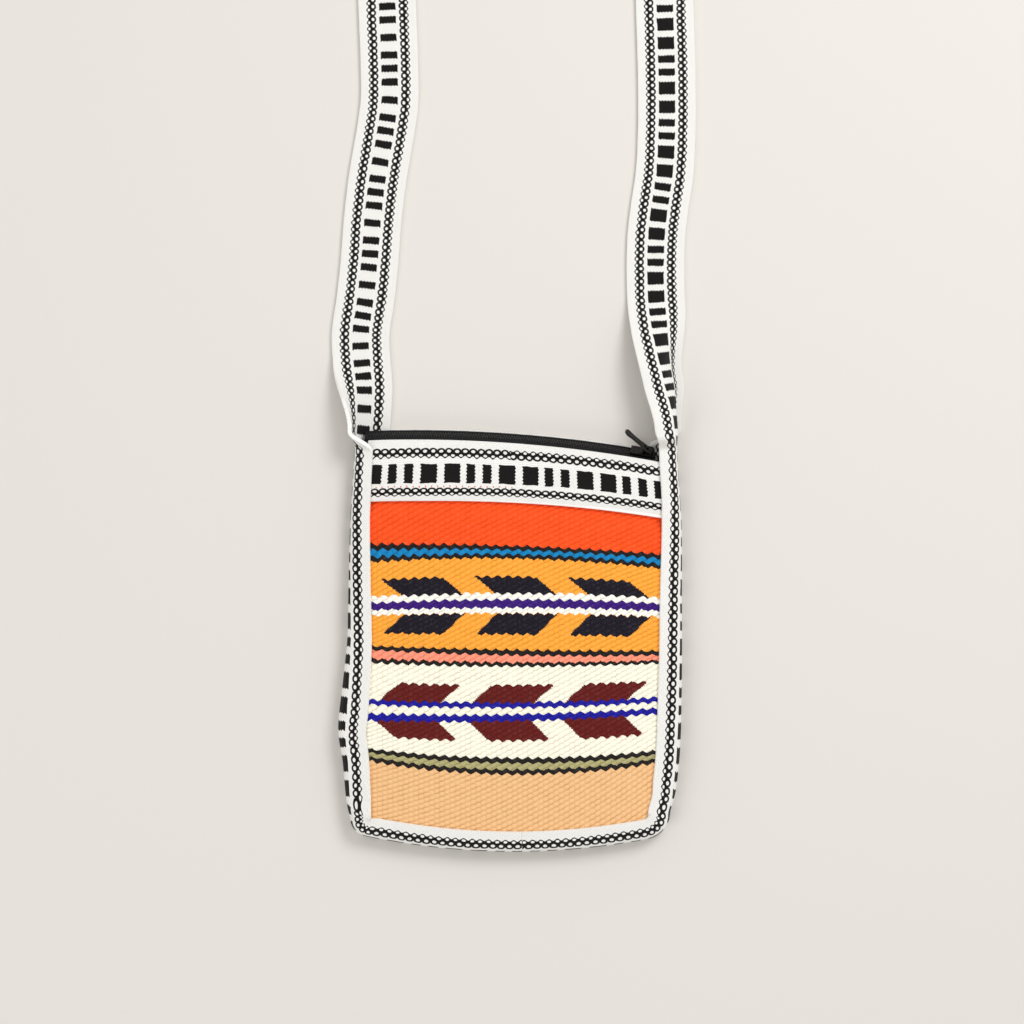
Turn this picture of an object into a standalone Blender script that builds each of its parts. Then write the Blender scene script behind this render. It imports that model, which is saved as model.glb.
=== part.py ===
"""Hand-woven crossbody bag with a zipped top, lying on its back.

Metres, +Z up, +Y towards the zip. The origin is on the floor under the middle of the bag.
A front and a back panel and two cross bands are joined by one long woven band, which folds
round the sides and the bottom as the gusset and runs on as the shoulder strap.
"""
import math

import bmesh
import bpy
import numpy as np
from mathutils import Matrix, Vector

# Bag body: from crease to crease of the side band, and from the bottom crease to the zip
BAG_WIDTH = 0.195
BAG_HEIGHT = 0.2424
BOTTOM_BOW = 0.0115
CORNER_RADIUS_LEFT = 0.010
CORNER_RADIUS_RIGHT = 0.0155
CORNER_INSET_LEFT = 0.0020
CORNER_INSET_RIGHT = 0.0065
DOME_HEIGHT = 0.0078

# Cloth and gaps
BAND_WIDTH = 0.034
BAND_THICKNESS = 0.0022
PANEL_THICKNESS = 0.0025
TAPE_THICKNESS = 0.0007
GAP = 0.0003

# Fold of the side band round the bag's edge
FOLD_ANGLE = math.radians(170)
FLAP_SLOPE = math.radians(10)
FOLD_RADIUS = 0.0060
FOLD_RADIUS_AT_ZIP = 0.0072
FOLD_RADIUS_REACH = 0.055
FOLD_SHIFT = 0.0025
SIDE_SEAM_INSET = 0.0066
SEAM_X = 0.0047
SEAM_GAP = 0.0008
SEAM_STRAIGHT = 0.0030
CORNER_GATHER = 0.78

# Shoulder strap
STRAP_REACH = 0.424
STRAP_APEX_RADIUS = 0.082
STRAP_TILT = 0.0026
APEX_TURN = 0.200
COUNTER_WIDTH = 0.0055

# How the fold opens into the strap: height over the end of the zip, fold and, at the right, the
# bend back of the outer edge, in degrees
LEFT_OPENING = ((-0.008, 170), (0.003, 88), (0.0545, 0))
RIGHT_OPENING = ((0.003, 170, 0), (0.014, 118, 118), (0.044, 80, 80), (0.098, 0, 0))

# Zip: its teeth follow one arc, turned about a far centre, and lean towards the top
ZIP_RADIUS = 0.812
ZIP_MIDDLE_X = -0.0020
ZIP_SLANT = math.radians(4.07)
ZIP_SIDE_CLEARANCE = 0.0117
ZIP_LENGTH = BAG_WIDTH - 2 * ZIP_SIDE_CLEARANCE
ZIP_HEIGHT = 0.0081
ZIP_LEAN = math.radians(35)
TOOTH_PITCH = 0.0035
TOOTH_ROOT_WIDTH = 0.00175
TOOTH_TIP_WIDTH = 0.00115
TEETH_HALF_WIDTH = 0.0025
TEETH_SPINE = 0.0012
TEETH_THICKNESS = 0.0020
TAPE_PLANE_HALF_WIDTH = 0.0041
TAPE_TURN = 0.0002
TAPE_STEP = 0.0025
TAPE_HIDDEN = 0.0070
TAPE_TURN_REACH = 0.0008
TAPE_END_INSET = 0.0035

# Cross bands under the zip
TOP_BAND_START = 0.0030
TOP_BAND_HEIGHT = 0.0360
TOP_BAND_LAP = 0.0060
LAP_SLOPE_LENGTH = 0.0100
TOP_BAND_RISE = 0.0045

# Weave ribs of the front panel
RIB_PITCH = 0.0094
RIB_HEIGHT = 0.0005

# Slider and pull
SLIDER_LENGTH = 0.0140
SLIDER_HALF_WIDTH = 0.0038
SLIDER_FLANGE = 0.0009
SLIDER_PLATE = 0.00105
SLIDER_CLEARANCE = 0.00035
SLIDER_END_INSET = 0.0009
WEDGE_LENGTH = 0.0026
WEDGE_WIDTH = 0.0026
WEDGE_SETBACK = 0.0002
CROWN_OFFSET = 0.0032
CROWN_HALF_OPENING = 0.0020
CROWN_OPENING_HEIGHT = 0.0022
CROWN_WALL = 0.0011
CROWN_WIDTH = 0.0018
PULL_LENGTH = 0.0187
PULL_WIDTH = 0.0050
PULL_THICKNESS = 0.0012
PULL_BAR = 0.0012
PULL_WAIST = 0.0006
PULL_SHOULDER = 0.0030
PULL_CHAMFER = 0.0015
PULL_REST_ANGLE = math.radians(35)

# Mesh steps
PATH_STEP = 0.001
BEND_SEGMENTS = 5
STATION_TURN = 0.27
STATION_MIN = 0.003
STATION_MAX = 0.014
ARC_SEGMENTS = 12

BOTTOM_Y = -BAG_HEIGHT / 2
ZIP_Y = BAG_HEIGHT / 2
HALF_WIDTH = BAG_WIDTH / 2
FOLD_LENGTH = BAND_WIDTH / 2 - FOLD_SHIFT
BACK_LENGTH = BAND_WIDTH / 2 + FOLD_SHIFT
GUSSET_ROLL = math.pi + FLAP_SLOPE + FOLD_ANGLE / 2

# Left and right sides from the bottom up: distance beyond the half width, share of the height
LEFT_SIDE = ((0.0000, 0.115), (0.0024, 0.215), (0.0050, 0.290), (0.0022, 0.410),
             (-0.0003, 0.510), (-0.0009, 0.610), (-0.0022, 0.800), (-0.0044, 0.945))
RIGHT_SIDE = ((-0.0035, 0.140), (-0.0009, 0.235), (0.0003, 0.410), (0.0003, 0.610),
              (0.0000, 0.790), (-0.0024, 0.945))
# Left and right strap legs from the bag up: distance in from the half width, height over the zip
LEFT_LEG = ((0.0060, 0.012), (0.0063, 0.030), (0.0050, 0.045), (0.0043, 0.062),
            (0.0071, 0.082), (0.0095, 0.104), (0.0115, 0.130), (0.0145, 0.155),
            (0.0189, 0.181), (0.0214, 0.200), (0.0212, 0.226), (0.0199, 0.262))
RIGHT_LEG = ((0.0032, 0.006), (0.0050, 0.018), (0.0085, 0.033), (0.0120, 0.050),
             (0.0144, 0.065), (0.0160, 0.083), (0.0164, 0.103), (0.0158, 0.121),
             (0.0138, 0.138), (0.0110, 0.157), (0.0098, 0.180), (0.0097, 0.212),
             (0.0110, 0.262))


def ease(share):
    """Smooth step from 0 to 1."""
    share = min(max(share, 0.0), 1.0)
    return share * share * (3 - 2 * share)


def eased_keys(place, keys):
    """Value at a place between keys of (place, value), smoothed between them."""
    for (low, first), (high, second) in zip(keys, keys[1:]):
        if place <= high:
            return first + (second - first) * ease((place - low) / max(high - low, 1e-9))
    return keys[-1][1]


def material(name, colour, roughness, metallic=0.0):
    made = bpy.data.materials.new(name)
    made.use_nodes = True
    shader = made.node_tree.nodes["Principled BSDF"]
    shader.inputs["Base Color"].default_value = (*colour, 1.0)
    shader.inputs["Roughness"].default_value = roughness
    shader.inputs["Metallic"].default_value = metallic
    return made


def arc_points(centre, radius, start, end, count):
    """Points on an arc in plan, from the start angle to the end angle."""
    points = []
    for index in range(count):
        angle = start + (end - start) * index / (count - 1)
        points.append((centre[0] + radius * math.cos(angle), centre[1] + radius * math.sin(angle)))
    return points


def bottom_height(x):
    """Height in plan of the bottom crease, which bows down in the middle."""
    return BOTTOM_Y + BOTTOM_BOW * (x / HALF_WIDTH) ** 2


def corner_arc(corner_x, radius):
    """Centre of a corner's arc and the angle at which it touches the bowed bottom."""
    x = corner_x - math.copysign(radius, corner_x)
    slope = math.atan(2 * BOTTOM_BOW * x / HALF_WIDTH ** 2)
    return (x, bottom_height(x) + radius / math.cos(slope)), slope - math.pi / 2


def band_route():
    """Points of the side band's crease: bottom seam, left side, strap, right side, seam."""
    left_arc, left_touch = corner_arc(CORNER_INSET_LEFT - HALF_WIDTH, CORNER_RADIUS_LEFT)
    right_arc, right_touch = corner_arc(HALF_WIDTH - CORNER_INSET_RIGHT, CORNER_RADIUS_RIGHT)
    start = SEAM_X - SEAM_GAP / 2
    points = [(x, bottom_height(x)) for x in (start, start - SEAM_STRAIGHT)]
    for share in (-0.15, -0.35, -0.55, -0.72):
        points.append((share * HALF_WIDTH, bottom_height(share * HALF_WIDTH)))
    points += arc_points(left_arc, CORNER_RADIUS_LEFT, left_touch, -math.pi, 5)
    points += [(-(HALF_WIDTH + out), BOTTOM_Y + share * BAG_HEIGHT) for out, share in LEFT_SIDE]
    points += [(-(HALF_WIDTH - inward), ZIP_Y + rise) for inward, rise in LEFT_LEG]
    points += arc_points((STRAP_TILT, ZIP_Y + STRAP_REACH), STRAP_APEX_RADIUS, math.pi, 0.0, 9)
    points += [(HALF_WIDTH - inward, ZIP_Y + rise) for inward, rise in reversed(RIGHT_LEG)]
    points += [(HALF_WIDTH + out, BOTTOM_Y + share * BAG_HEIGHT)
               for out, share in reversed(RIGHT_SIDE)]
    points += arc_points(right_arc, CORNER_RADIUS_RIGHT, 0.0, right_touch, 6)
    for share in (0.62, 0.42, 0.20):
        points.append((share * HALF_WIDTH, bottom_height(share * HALF_WIDTH)))
    end = SEAM_X + SEAM_GAP / 2
    points += [(x, bottom_height(x)) for x in (end + SEAM_STRAIGHT, end)]
    return points


def smooth_route(points):
    """Even samples, PATH_STEP apart, of a centripetal Catmull-Rom curve through the points."""
    rows = [Vector(point) for point in points]
    rows = [2 * rows[0] - rows[1]] + rows + [2 * rows[-1] - rows[-2]]
    dense = []
    for index in range(1, len(rows) - 2):
        p0, p1, p2, p3 = rows[index - 1:index + 3]
        t1 = (p1 - p0).length ** 0.5
        t2 = t1 + (p2 - p1).length ** 0.5
        t3 = t2 + (p3 - p2).length ** 0.5
        steps = max(int((p2 - p1).length / (PATH_STEP / 2)), 2)
        for step in range(steps):
            t = t1 + (t2 - t1) * step / steps
            a1 = p0 * ((t1 - t) / t1) + p1 * (t / t1)
            a2 = p1 * ((t2 - t) / (t2 - t1)) + p2 * ((t - t1) / (t2 - t1))
            a3 = p2 * ((t3 - t) / (t3 - t2)) + p3 * ((t - t2) / (t3 - t2))
            b1 = a1 * ((t2 - t) / t2) + a2 * (t / t2)
            b2 = a2 * ((t3 - t) / (t3 - t1)) + a3 * ((t - t1) / (t3 - t1))
            dense.append(b1 * ((t2 - t) / (t2 - t1)) + b2 * ((t - t1) / (t2 - t1)))
    dense.append(rows[-2])
    plan = np.array([tuple(point) for point in dense])
    lengths = np.concatenate(([0.0], np.cumsum(np.linalg.norm(np.diff(plan, axis=0), axis=1))))
    count = int(lengths[-1] / PATH_STEP)
    places = np.linspace(0.0, lengths[-1], count + 1)
    even = np.stack([np.interp(places, lengths, plan[:, axis]) for axis in (0, 1)], axis=1)
    return even, places


PATH, PLACES = smooth_route(band_route())
PATH_LENGTH = float(PLACES[-1])
TANGENTS = np.gradient(PATH, PLACES, axis=0)
TANGENTS /= np.linalg.norm(TANGENTS, axis=1)[:, None]

# Far centre of the zip's arc, and the half angle that its teeth span
ZIP_CENTRE = (Vector((ZIP_MIDDLE_X, ZIP_Y))
              - ZIP_RADIUS * Vector((math.sin(ZIP_SLANT), math.cos(ZIP_SLANT))))
ZIP_HALF_ANGLE = math.asin(ZIP_LENGTH / 2 / ZIP_RADIUS)
ZIP_START = ZIP_SLANT - ZIP_HALF_ANGLE
ZIP_END = ZIP_SLANT + ZIP_HALF_ANGLE


def below_zip(x, y):
    """Distance in plan from the zip's arc, positive on the bag's side."""
    return ZIP_RADIUS - math.hypot(x - ZIP_CENTRE.x, y - ZIP_CENTRE.y)


def route_at(place):
    """Point and unit direction of the crease at a length along it; lengths wrap at the seam."""
    place = place % PATH_LENGTH
    point = Vector([np.interp(place, PLACES, PATH[:, axis]) for axis in (0, 1)])
    heading = Vector([np.interp(place, PLACES, TANGENTS[:, axis]) for axis in (0, 1)])
    return point, heading.normalized()


def place_where(test):
    """First length along the crease at which the test holds."""
    for point, place in zip(PATH, PLACES):
        if test(point[0], point[1], place):
            return float(place)
    raise ValueError("the crease has no such place")


# Places along the crease: where it passes the zip's line, the corners and the strap's apex
LEFT_TOP = place_where(lambda x, y, s: x < 0 and below_zip(x, y) < 0.002)
RIGHT_TOP = place_where(lambda x, y, s: s > PATH_LENGTH / 2 and below_zip(x, y) > -0.004)
APEX = LEFT_TOP + (RIGHT_TOP - LEFT_TOP) / 2
LEFT_CORNER = place_where(lambda x, y, s: x < -HALF_WIDTH / 2 and y > bottom_height(x)
                          + 0.35 * CORNER_RADIUS_LEFT)
RIGHT_CORNER = place_where(lambda x, y, s: s > RIGHT_TOP + BAG_HEIGHT / 2
                           and y < bottom_height(x) + 0.35 * CORNER_RADIUS_RIGHT)


def fold_at(place):
    """Angle through which the band bends across its width."""
    keys = [(0, 170)] + [(LEFT_TOP + rise, fold) for rise, fold in LEFT_OPENING]
    keys += [(RIGHT_TOP - rise, fold) for rise, fold, _ in reversed(RIGHT_OPENING)]
    return math.radians(eased_keys(place, keys + [(PATH_LENGTH, 170)]))


def counter_at(place):
    """Angle through which the outer edge bends back, where the fold opens at the right."""
    keys = [(0, 0)] + [(RIGHT_TOP - rise, back) for rise, _, back in reversed(RIGHT_OPENING)]
    return math.radians(eased_keys(place, keys + [(PATH_LENGTH, 0)]))


def roll_at(place):
    """Angle of the band's cross line at the crease, from inward, turning towards +Z."""
    if place < APEX - APEX_TURN:
        return 2 * math.pi - fold_at(place) / 2
    if place > APEX + APEX_TURN:
        return math.pi + fold_at(place) * (0.5 + FLAP_SLOPE / FOLD_ANGLE)
    keys = ((APEX - APEX_TURN, 360), (APEX, 270), (APEX + APEX_TURN, 180))
    return math.radians(eased_keys(place, keys))


def fold_radius(below):
    """Radius of the folded edge, a little fuller beside the zip."""
    share = ease((FOLD_RADIUS_REACH - below) / FOLD_RADIUS_REACH)
    return FOLD_RADIUS + (FOLD_RADIUS_AT_ZIP - FOLD_RADIUS) * share


def gather_at(place, reach):
    """Share of its reach that a flap keeps where the crease turns a corner tighter than it."""
    share = 1.0
    for corner, radius in ((LEFT_CORNER, CORNER_RADIUS_LEFT), (RIGHT_CORNER, CORNER_RADIUS_RIGHT)):
        kept = min(CORNER_GATHER * radius / reach, 1.0)
        half = radius * math.pi / 4
        away = abs(place % PATH_LENGTH - corner)
        share = min(share, kept + (1 - kept) * ease((away - half) / (2 * half)))
    return share


def section_point(across, roll, fold, counter, bend_half):
    """Offset inward and up of the band's middle surface, at a distance from the crease."""
    folded = max(min(across, bend_half), -bend_half)
    countered = max(min(across - folded, COUNTER_WIDTH), 0.0)
    inward, up, angle = 0.0, 0.0, roll
    for length, rate in ((folded, fold / 2 / bend_half), (countered, -counter / COUNTER_WIDTH),
                         (across - folded - countered, 0.0)):
        turned = angle + rate * length
        if abs(rate) < 1e-6:
            inward += length * math.cos(angle)
            up += length * math.sin(angle)
        else:
            inward += (math.sin(turned) - math.sin(angle)) / rate
            up += (math.cos(angle) - math.cos(turned)) / rate
        angle = turned
    return inward, up, angle


def section_at(place, shares):
    """Inward and up offsets of the band across its width, resting on the floor."""
    point, _ = route_at(place)
    roll = roll_at(place)
    fold = fold_at(place)
    counter = counter_at(place)
    bend_half = fold_radius(below_zip(*point)) * FOLD_ANGLE / 2
    ends = {-2: -FOLD_LENGTH, 1.5: bend_half + COUNTER_WIDTH, 2: BACK_LENGTH}
    rows = [section_point(ends.get(share, share * bend_half), roll, fold, counter, bend_half)
            for share in shares]
    lowest = min(up - BAND_THICKNESS / 2 * abs(math.cos(angle)) for _, up, angle in rows)
    front = gather_at(place, rows[0][0])
    back = gather_at(place, rows[-1][0])
    placed = []
    for share, (inward, up, _) in zip(shares, rows):
        kept = front if share < 0 else back
        placed.append((inward * kept if fold > 0.5 * FOLD_ANGLE else inward, up - lowest))
    return placed


# Cross rows: the front edge, the fold, the bend back, and the back edge
BAND_SHARES = [-2] + [2 * index / BEND_SEGMENTS - 1 for index in range(BEND_SEGMENTS + 1)] + [1.5, 2]


def band_stations():
    """Lengths along the band for its cross rows, closer where it turns, rolls or unfolds."""
    stations = [0.0]
    here, turned = 0.0, 0.0
    while here < PATH_LENGTH - STATION_MIN:
        ahead = here + PATH_STEP
        turned += route_at(here)[1].angle(route_at(ahead)[1], 0.0)
        turned += abs(roll_at(ahead) - roll_at(here)) + abs(fold_at(ahead) - fold_at(here))
        here = ahead
        run = here - stations[-1]
        if run >= STATION_MAX or (run >= STATION_MIN and turned >= STATION_TURN):
            stations.append(here)
            turned = 0.0
    return stations + [PATH_LENGTH - 1e-6]


STATIONS = band_stations()


def finish_sheet(name, mesh, thickness, look, collection):
    """Object of an open sheet with its thickness put on evenly."""
    made = bpy.data.objects.new(name, mesh)
    collection.objects.link(made)
    solid = made.modifiers.new("cloth", "SOLIDIFY")
    solid.thickness = thickness
    solid.offset = 0.0
    mesh.materials.append(look)
    mesh.shade_smooth()
    mesh.set_sharp_from_angle(angle=math.radians(50))
    return made


def sheet_mesh(name, columns, rows, position):
    """A grid of columns by rows cells, each vertex moved to position(column, row)."""
    grid = bmesh.new()
    bmesh.ops.create_grid(grid, x_segments=columns, y_segments=rows, size=0.5)
    for vertex in grid.verts:
        column = round((vertex.co.x + 0.5) * columns)
        row = round((vertex.co.y + 0.5) * rows)
        vertex.co = position(column, row)
    mesh = bpy.data.meshes.new(name)
    grid.to_mesh(mesh)
    grid.free()
    return mesh


def shoulder_band(look, collection):
    """The one long band: gusset round the body, and shoulder strap."""
    lines = []
    for place in STATIONS:
        point, heading = route_at(place)
        inward = Vector((heading.y, -heading.x))
        line = []
        for offset, height in section_at(place, BAND_SHARES):
            line.append(Vector((*(point + offset * inward), height)))
        lines.append(line)
    mesh = sheet_mesh("shoulder_band", len(STATIONS) - 1, len(BAND_SHARES) - 1,
                      lambda column, row: lines[column][row])
    return finish_sheet("shoulder_band", mesh, BAND_THICKNESS, look, collection)


# Samples of the crease along each edge of the body, for distances to it
SIDE_SAMPLES = [
    PATH[(PLACES > LEFT_CORNER) & (PLACES < LEFT_TOP + 0.010)],
    PATH[(PLACES > RIGHT_TOP - 0.010) & (PLACES < RIGHT_CORNER)],
    PATH[(PLACES <= LEFT_CORNER) | (PLACES >= RIGHT_CORNER)],
]


def flap_edge_height(below):
    """Height of the front flap's middle surface where the panels' edges lie under it."""
    radius = fold_radius(below)
    bend_half = radius * FOLD_ANGLE / 2
    rise = section_point(-bend_half, GUSSET_ROLL, FOLD_ANGLE, 0.0, bend_half)
    back = section_point(bend_half, GUSSET_ROLL, FOLD_ANGLE, 0.0, bend_half)
    crease = BAND_THICKNESS / 2 - back[1]
    return crease + rise[1] + (SIDE_SEAM_INSET - rise[0]) * math.tan(FLAP_SLOPE)


def face_height(x, y):
    """Height of the front panel's middle surface, domed between its edges."""
    below = below_zip(x, y)
    nearness = [(max(below + TOP_BAND_RISE, 1e-4)) ** -3]
    for samples in SIDE_SAMPLES:
        away = float(np.sqrt(((samples - (x, y)) ** 2).sum(axis=1).min()))
        nearness.append(max(away - SIDE_SEAM_INSET, 1e-4) ** -3)
    depth = sum(nearness) ** (-1 / 3)
    dome = DOME_HEIGHT * (1 - math.exp(-math.tan(FLAP_SLOPE) * depth / DOME_HEIGHT))
    layers = (BAND_THICKNESS / 2 + GAP + PANEL_THICKNESS / 2) / math.cos(FLAP_SLOPE)
    return flap_edge_height(below) - layers + dome


def edge_point(place, inset):
    """Point in plan at a distance in from the crease."""
    point, heading = route_at(place)
    return point + inset * Vector((heading.y, -heading.x))


def place_below_zip(start, end, inset, below):
    """Length along one side at which the inset edge lies a given distance below the zip."""
    for _ in range(40):
        middle = (start + end) / 2
        if below_zip(*edge_point(middle, inset(middle))) > below:
            start = middle
        else:
            end = middle
    return middle


def side_to_side(inset, low, high):
    """Patch in plan between two distances below the zip, or down to the bottom if low is None.

    Returns a function of (share across, share up) that gives the point.
    """
    tops = [place_below_zip(LEFT_CORNER, LEFT_TOP, inset, high),
            place_below_zip(RIGHT_CORNER, RIGHT_TOP, inset, high)]
    if low is None:
        lows = [LEFT_CORNER, RIGHT_CORNER]
    else:
        lows = [place_below_zip(LEFT_CORNER, LEFT_TOP, inset, low),
                place_below_zip(RIGHT_CORNER, RIGHT_TOP, inset, low)]

    def side(index, up):
        place = lows[index] + (tops[index] - lows[index]) * up
        return edge_point(place, inset(place))

    def across_arc(below, share, ends):
        angles = [math.atan2(end.x - ZIP_CENTRE.x, end.y - ZIP_CENTRE.y) for end in ends]
        angle = angles[0] + (angles[1] - angles[0]) * share
        radius = ZIP_RADIUS - below
        return ZIP_CENTRE + radius * Vector((math.sin(angle), math.cos(angle)))

    def bottom(share):
        if low is not None:
            return across_arc(low, share, (side(0, 0), side(1, 0)))
        place = lows[0] + (lows[1] - PATH_LENGTH - lows[0]) * share
        return edge_point(place, inset(place))

    def patch(share, up):
        top = across_arc(high, share, (side(0, 1), side(1, 1)))
        lower = bottom(share)
        straight = (1 - up) * lower + up * top
        sides = (1 - share) * side(0, up) + share * side(1, up)
        corners = ((1 - share) * ((1 - up) * side(0, 0) + up * side(0, 1))
                   + share * ((1 - up) * side(1, 0) + up * side(1, 1)))
        return straight + sides - corners

    return patch


def front_inset(place):
    return SIDE_SEAM_INSET


def back_inset(place):
    """The back pieces meet the edge of the back flap side by side."""
    return section_at(place, BAND_SHARES)[-1][0] + GAP


TOP_BAND_END = TOP_BAND_START + TOP_BAND_HEIGHT


def lap_drop(below):
    """How far the front panel steps down to pass under the front band."""
    full = (BAND_THICKNESS / 2 + GAP + PANEL_THICKNESS / 2) / math.cos(FLAP_SLOPE)
    return full * ease((TOP_BAND_END + LAP_SLOPE_LENGTH - below) / LAP_SLOPE_LENGTH)


def front_panel(look, collection):
    """Front panel with the ribs of its thick weft, its edges under the bands around it."""
    patch = side_to_side(front_inset, None, TOP_BAND_END - TOP_BAND_LAP)
    height = BAG_HEIGHT - TOP_BAND_END + TOP_BAND_LAP
    rows = 2 * round(height / RIB_PITCH)
    columns = 12

    def position(column, row):
        x, y = patch(column / columns, row / rows)
        inside = 0 < column < columns and 0 < row < rows
        under_band = below_zip(x, y) < TOP_BAND_END + LAP_SLOPE_LENGTH
        rib = RIB_HEIGHT if inside and row % 2 and not under_band else 0.0
        return Vector((x, y, face_height(x, y) - lap_drop(below_zip(x, y)) - RIB_HEIGHT / 2 + rib))

    mesh = sheet_mesh("front_panel", columns, rows, position)
    return finish_sheet("front_panel", mesh, PANEL_THICKNESS, look, collection)


def front_top_band(look, collection):
    """Woven band sewn over the panel's top edge and along the zip."""
    patch = side_to_side(front_inset, TOP_BAND_END, TOP_BAND_START)
    columns, rows = 18, 5

    def position(column, row):
        x, y = patch(column / columns, row / rows)
        return Vector((x, y, face_height(x, y) + (PANEL_THICKNESS - BAND_THICKNESS) / 2))

    mesh = sheet_mesh("front_top_band", columns, rows, position)
    return finish_sheet("front_top_band", mesh, BAND_THICKNESS, look, collection)


def back_outline(low, high):
    """Outline of a back piece, beside the back flap and between distances below the zip.

    Its side points stand at the band's own cross rows; with no low it runs round the bottom.
    """
    left_high = place_below_zip(LEFT_CORNER, LEFT_TOP, back_inset, high)
    right_high = place_below_zip(RIGHT_CORNER, RIGHT_TOP, back_inset, high)
    if low is None:
        left_low, right_low = 0.0, PATH_LENGTH
    else:
        left_low = place_below_zip(LEFT_CORNER, LEFT_TOP, back_inset, low)
        right_low = place_below_zip(RIGHT_CORNER, RIGHT_TOP, back_inset, low)
    left = [s for s in STATIONS if left_low < s < left_high]
    right = [s for s in STATIONS if right_high < s < right_low]
    ends = ([left_low], [right_low]) if low is not None else ([], [])
    places = [left_high] + left[::-1] + ends[0]
    outline = [edge_point(place, back_inset(place)) for place in places]
    others = [right_high] + right + ends[1]
    other_side = [edge_point(place, back_inset(place)) for place in others][::-1]
    if low is not None:
        outline += zip_arc(low, outline[-1], other_side[0])
    outline += other_side
    outline += zip_arc(high, other_side[-1], outline[0])
    return outline


def zip_arc(below, start, end):
    """Points between two ends, at a distance below the zip's arc."""
    angles = [math.atan2(point.x - ZIP_CENTRE.x, point.y - ZIP_CENTRE.y) for point in (start, end)]
    points = []
    for step in range(1, ARC_SEGMENTS):
        angle = angles[0] + (angles[1] - angles[0]) * step / ARC_SEGMENTS
        points.append(ZIP_CENTRE + (ZIP_RADIUS - below) * Vector((math.sin(angle),
                                                                  math.cos(angle))))
    return points


def flat_back(name, low, high, thickness, look, collection):
    """A back piece, flat on the floor, its edges beside the back flap."""
    mesh = outline_solid(name, [[tuple(point) for point in back_outline(low, high)]],
                         thickness / 2)
    made = bpy.data.objects.new(name, mesh)
    collection.objects.link(made)
    made.location.z = thickness / 2
    mesh.materials.append(look)
    return made


def zip_point(angle, across, out):
    """Point of the zip: an angle along its arc, across towards the front, and outward."""
    radial = Vector((math.sin(angle), math.cos(angle), 0.0))
    towards_front = -math.sin(ZIP_LEAN) * radial + math.cos(ZIP_LEAN) * Vector((0, 0, 1))
    outward = math.cos(ZIP_LEAN) * radial + math.sin(ZIP_LEAN) * Vector((0, 0, 1))
    base = Vector((ZIP_CENTRE.x, ZIP_CENTRE.y, ZIP_HEIGHT)) + ZIP_RADIUS * radial
    return base + across * towards_front + out * outward


def zip_offset(angle, below, height):
    """Point at a distance below the zip's arc in plan, and a height."""
    radius = ZIP_RADIUS - below
    return Vector((ZIP_CENTRE.x + radius * math.sin(angle),
                   ZIP_CENTRE.y + radius * math.cos(angle), height))


def zip_tape_front(look, collection):
    """Tape from the front teeth, bent over to lie under the front band."""
    start = TEETH_HALF_WIDTH + GAP
    edge = TAPE_PLANE_HALF_WIDTH
    columns = 16

    def position(column, row):
        angle = ZIP_START + (ZIP_END - ZIP_START) * column / columns
        if row < 2:
            return zip_point(angle, (start, edge)[row], 0.0)
        below = TOP_BAND_START + (TAPE_TURN, TAPE_STEP, TAPE_HIDDEN)[row - 2]
        x, y, _ = zip_offset(angle, below, 0.0)
        under = (BAND_THICKNESS / 2 + GAP + TAPE_THICKNESS / 2) / math.cos(FLAP_SLOPE)
        band = face_height(x, y) + (PANEL_THICKNESS - BAND_THICKNESS) / 2
        return Vector((x, y, band - under))

    mesh = sheet_mesh("zip_tape_front", columns, 4, position)
    return finish_sheet("zip_tape_front", mesh, TAPE_THICKNESS, look, collection)


def zip_tape_back(look, collection):
    """Tape from the back teeth, turned down and in to lie on the back band."""
    start = -(TEETH_HALF_WIDTH + GAP)
    edge = -TAPE_PLANE_HALF_WIDTH
    lying = BAND_THICKNESS + GAP + TAPE_THICKNESS / 2
    columns = 16

    def position(column, row):
        # The turned-in part stops short of the band's bend at the left end
        first = ZIP_START + (TAPE_END_INSET / ZIP_RADIUS if row > 1 else 0.0)
        angle = first + (ZIP_END - first) * column / columns
        if row < 2:
            return zip_point(angle, (start, edge)[row], 0.0)
        corner = zip_point(angle, edge, 0.0)
        below = below_zip(corner.x, corner.y)
        bend = ((below - TAPE_TURN, (corner.z + lying) / 2 + TAPE_TURN),
                (below + TAPE_TURN_REACH, lying), (below + TAPE_HIDDEN, lying))[row - 2]
        return zip_offset(angle, *bend)

    mesh = sheet_mesh("zip_tape_back", columns, 4, position)
    return finish_sheet("zip_tape_back", mesh, TAPE_THICKNESS, look, collection)


TEETH_COUNT = int((ZIP_LENGTH - SLIDER_END_INSET - WEDGE_LENGTH - 3 * GAP) / TOOTH_PITCH)


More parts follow.
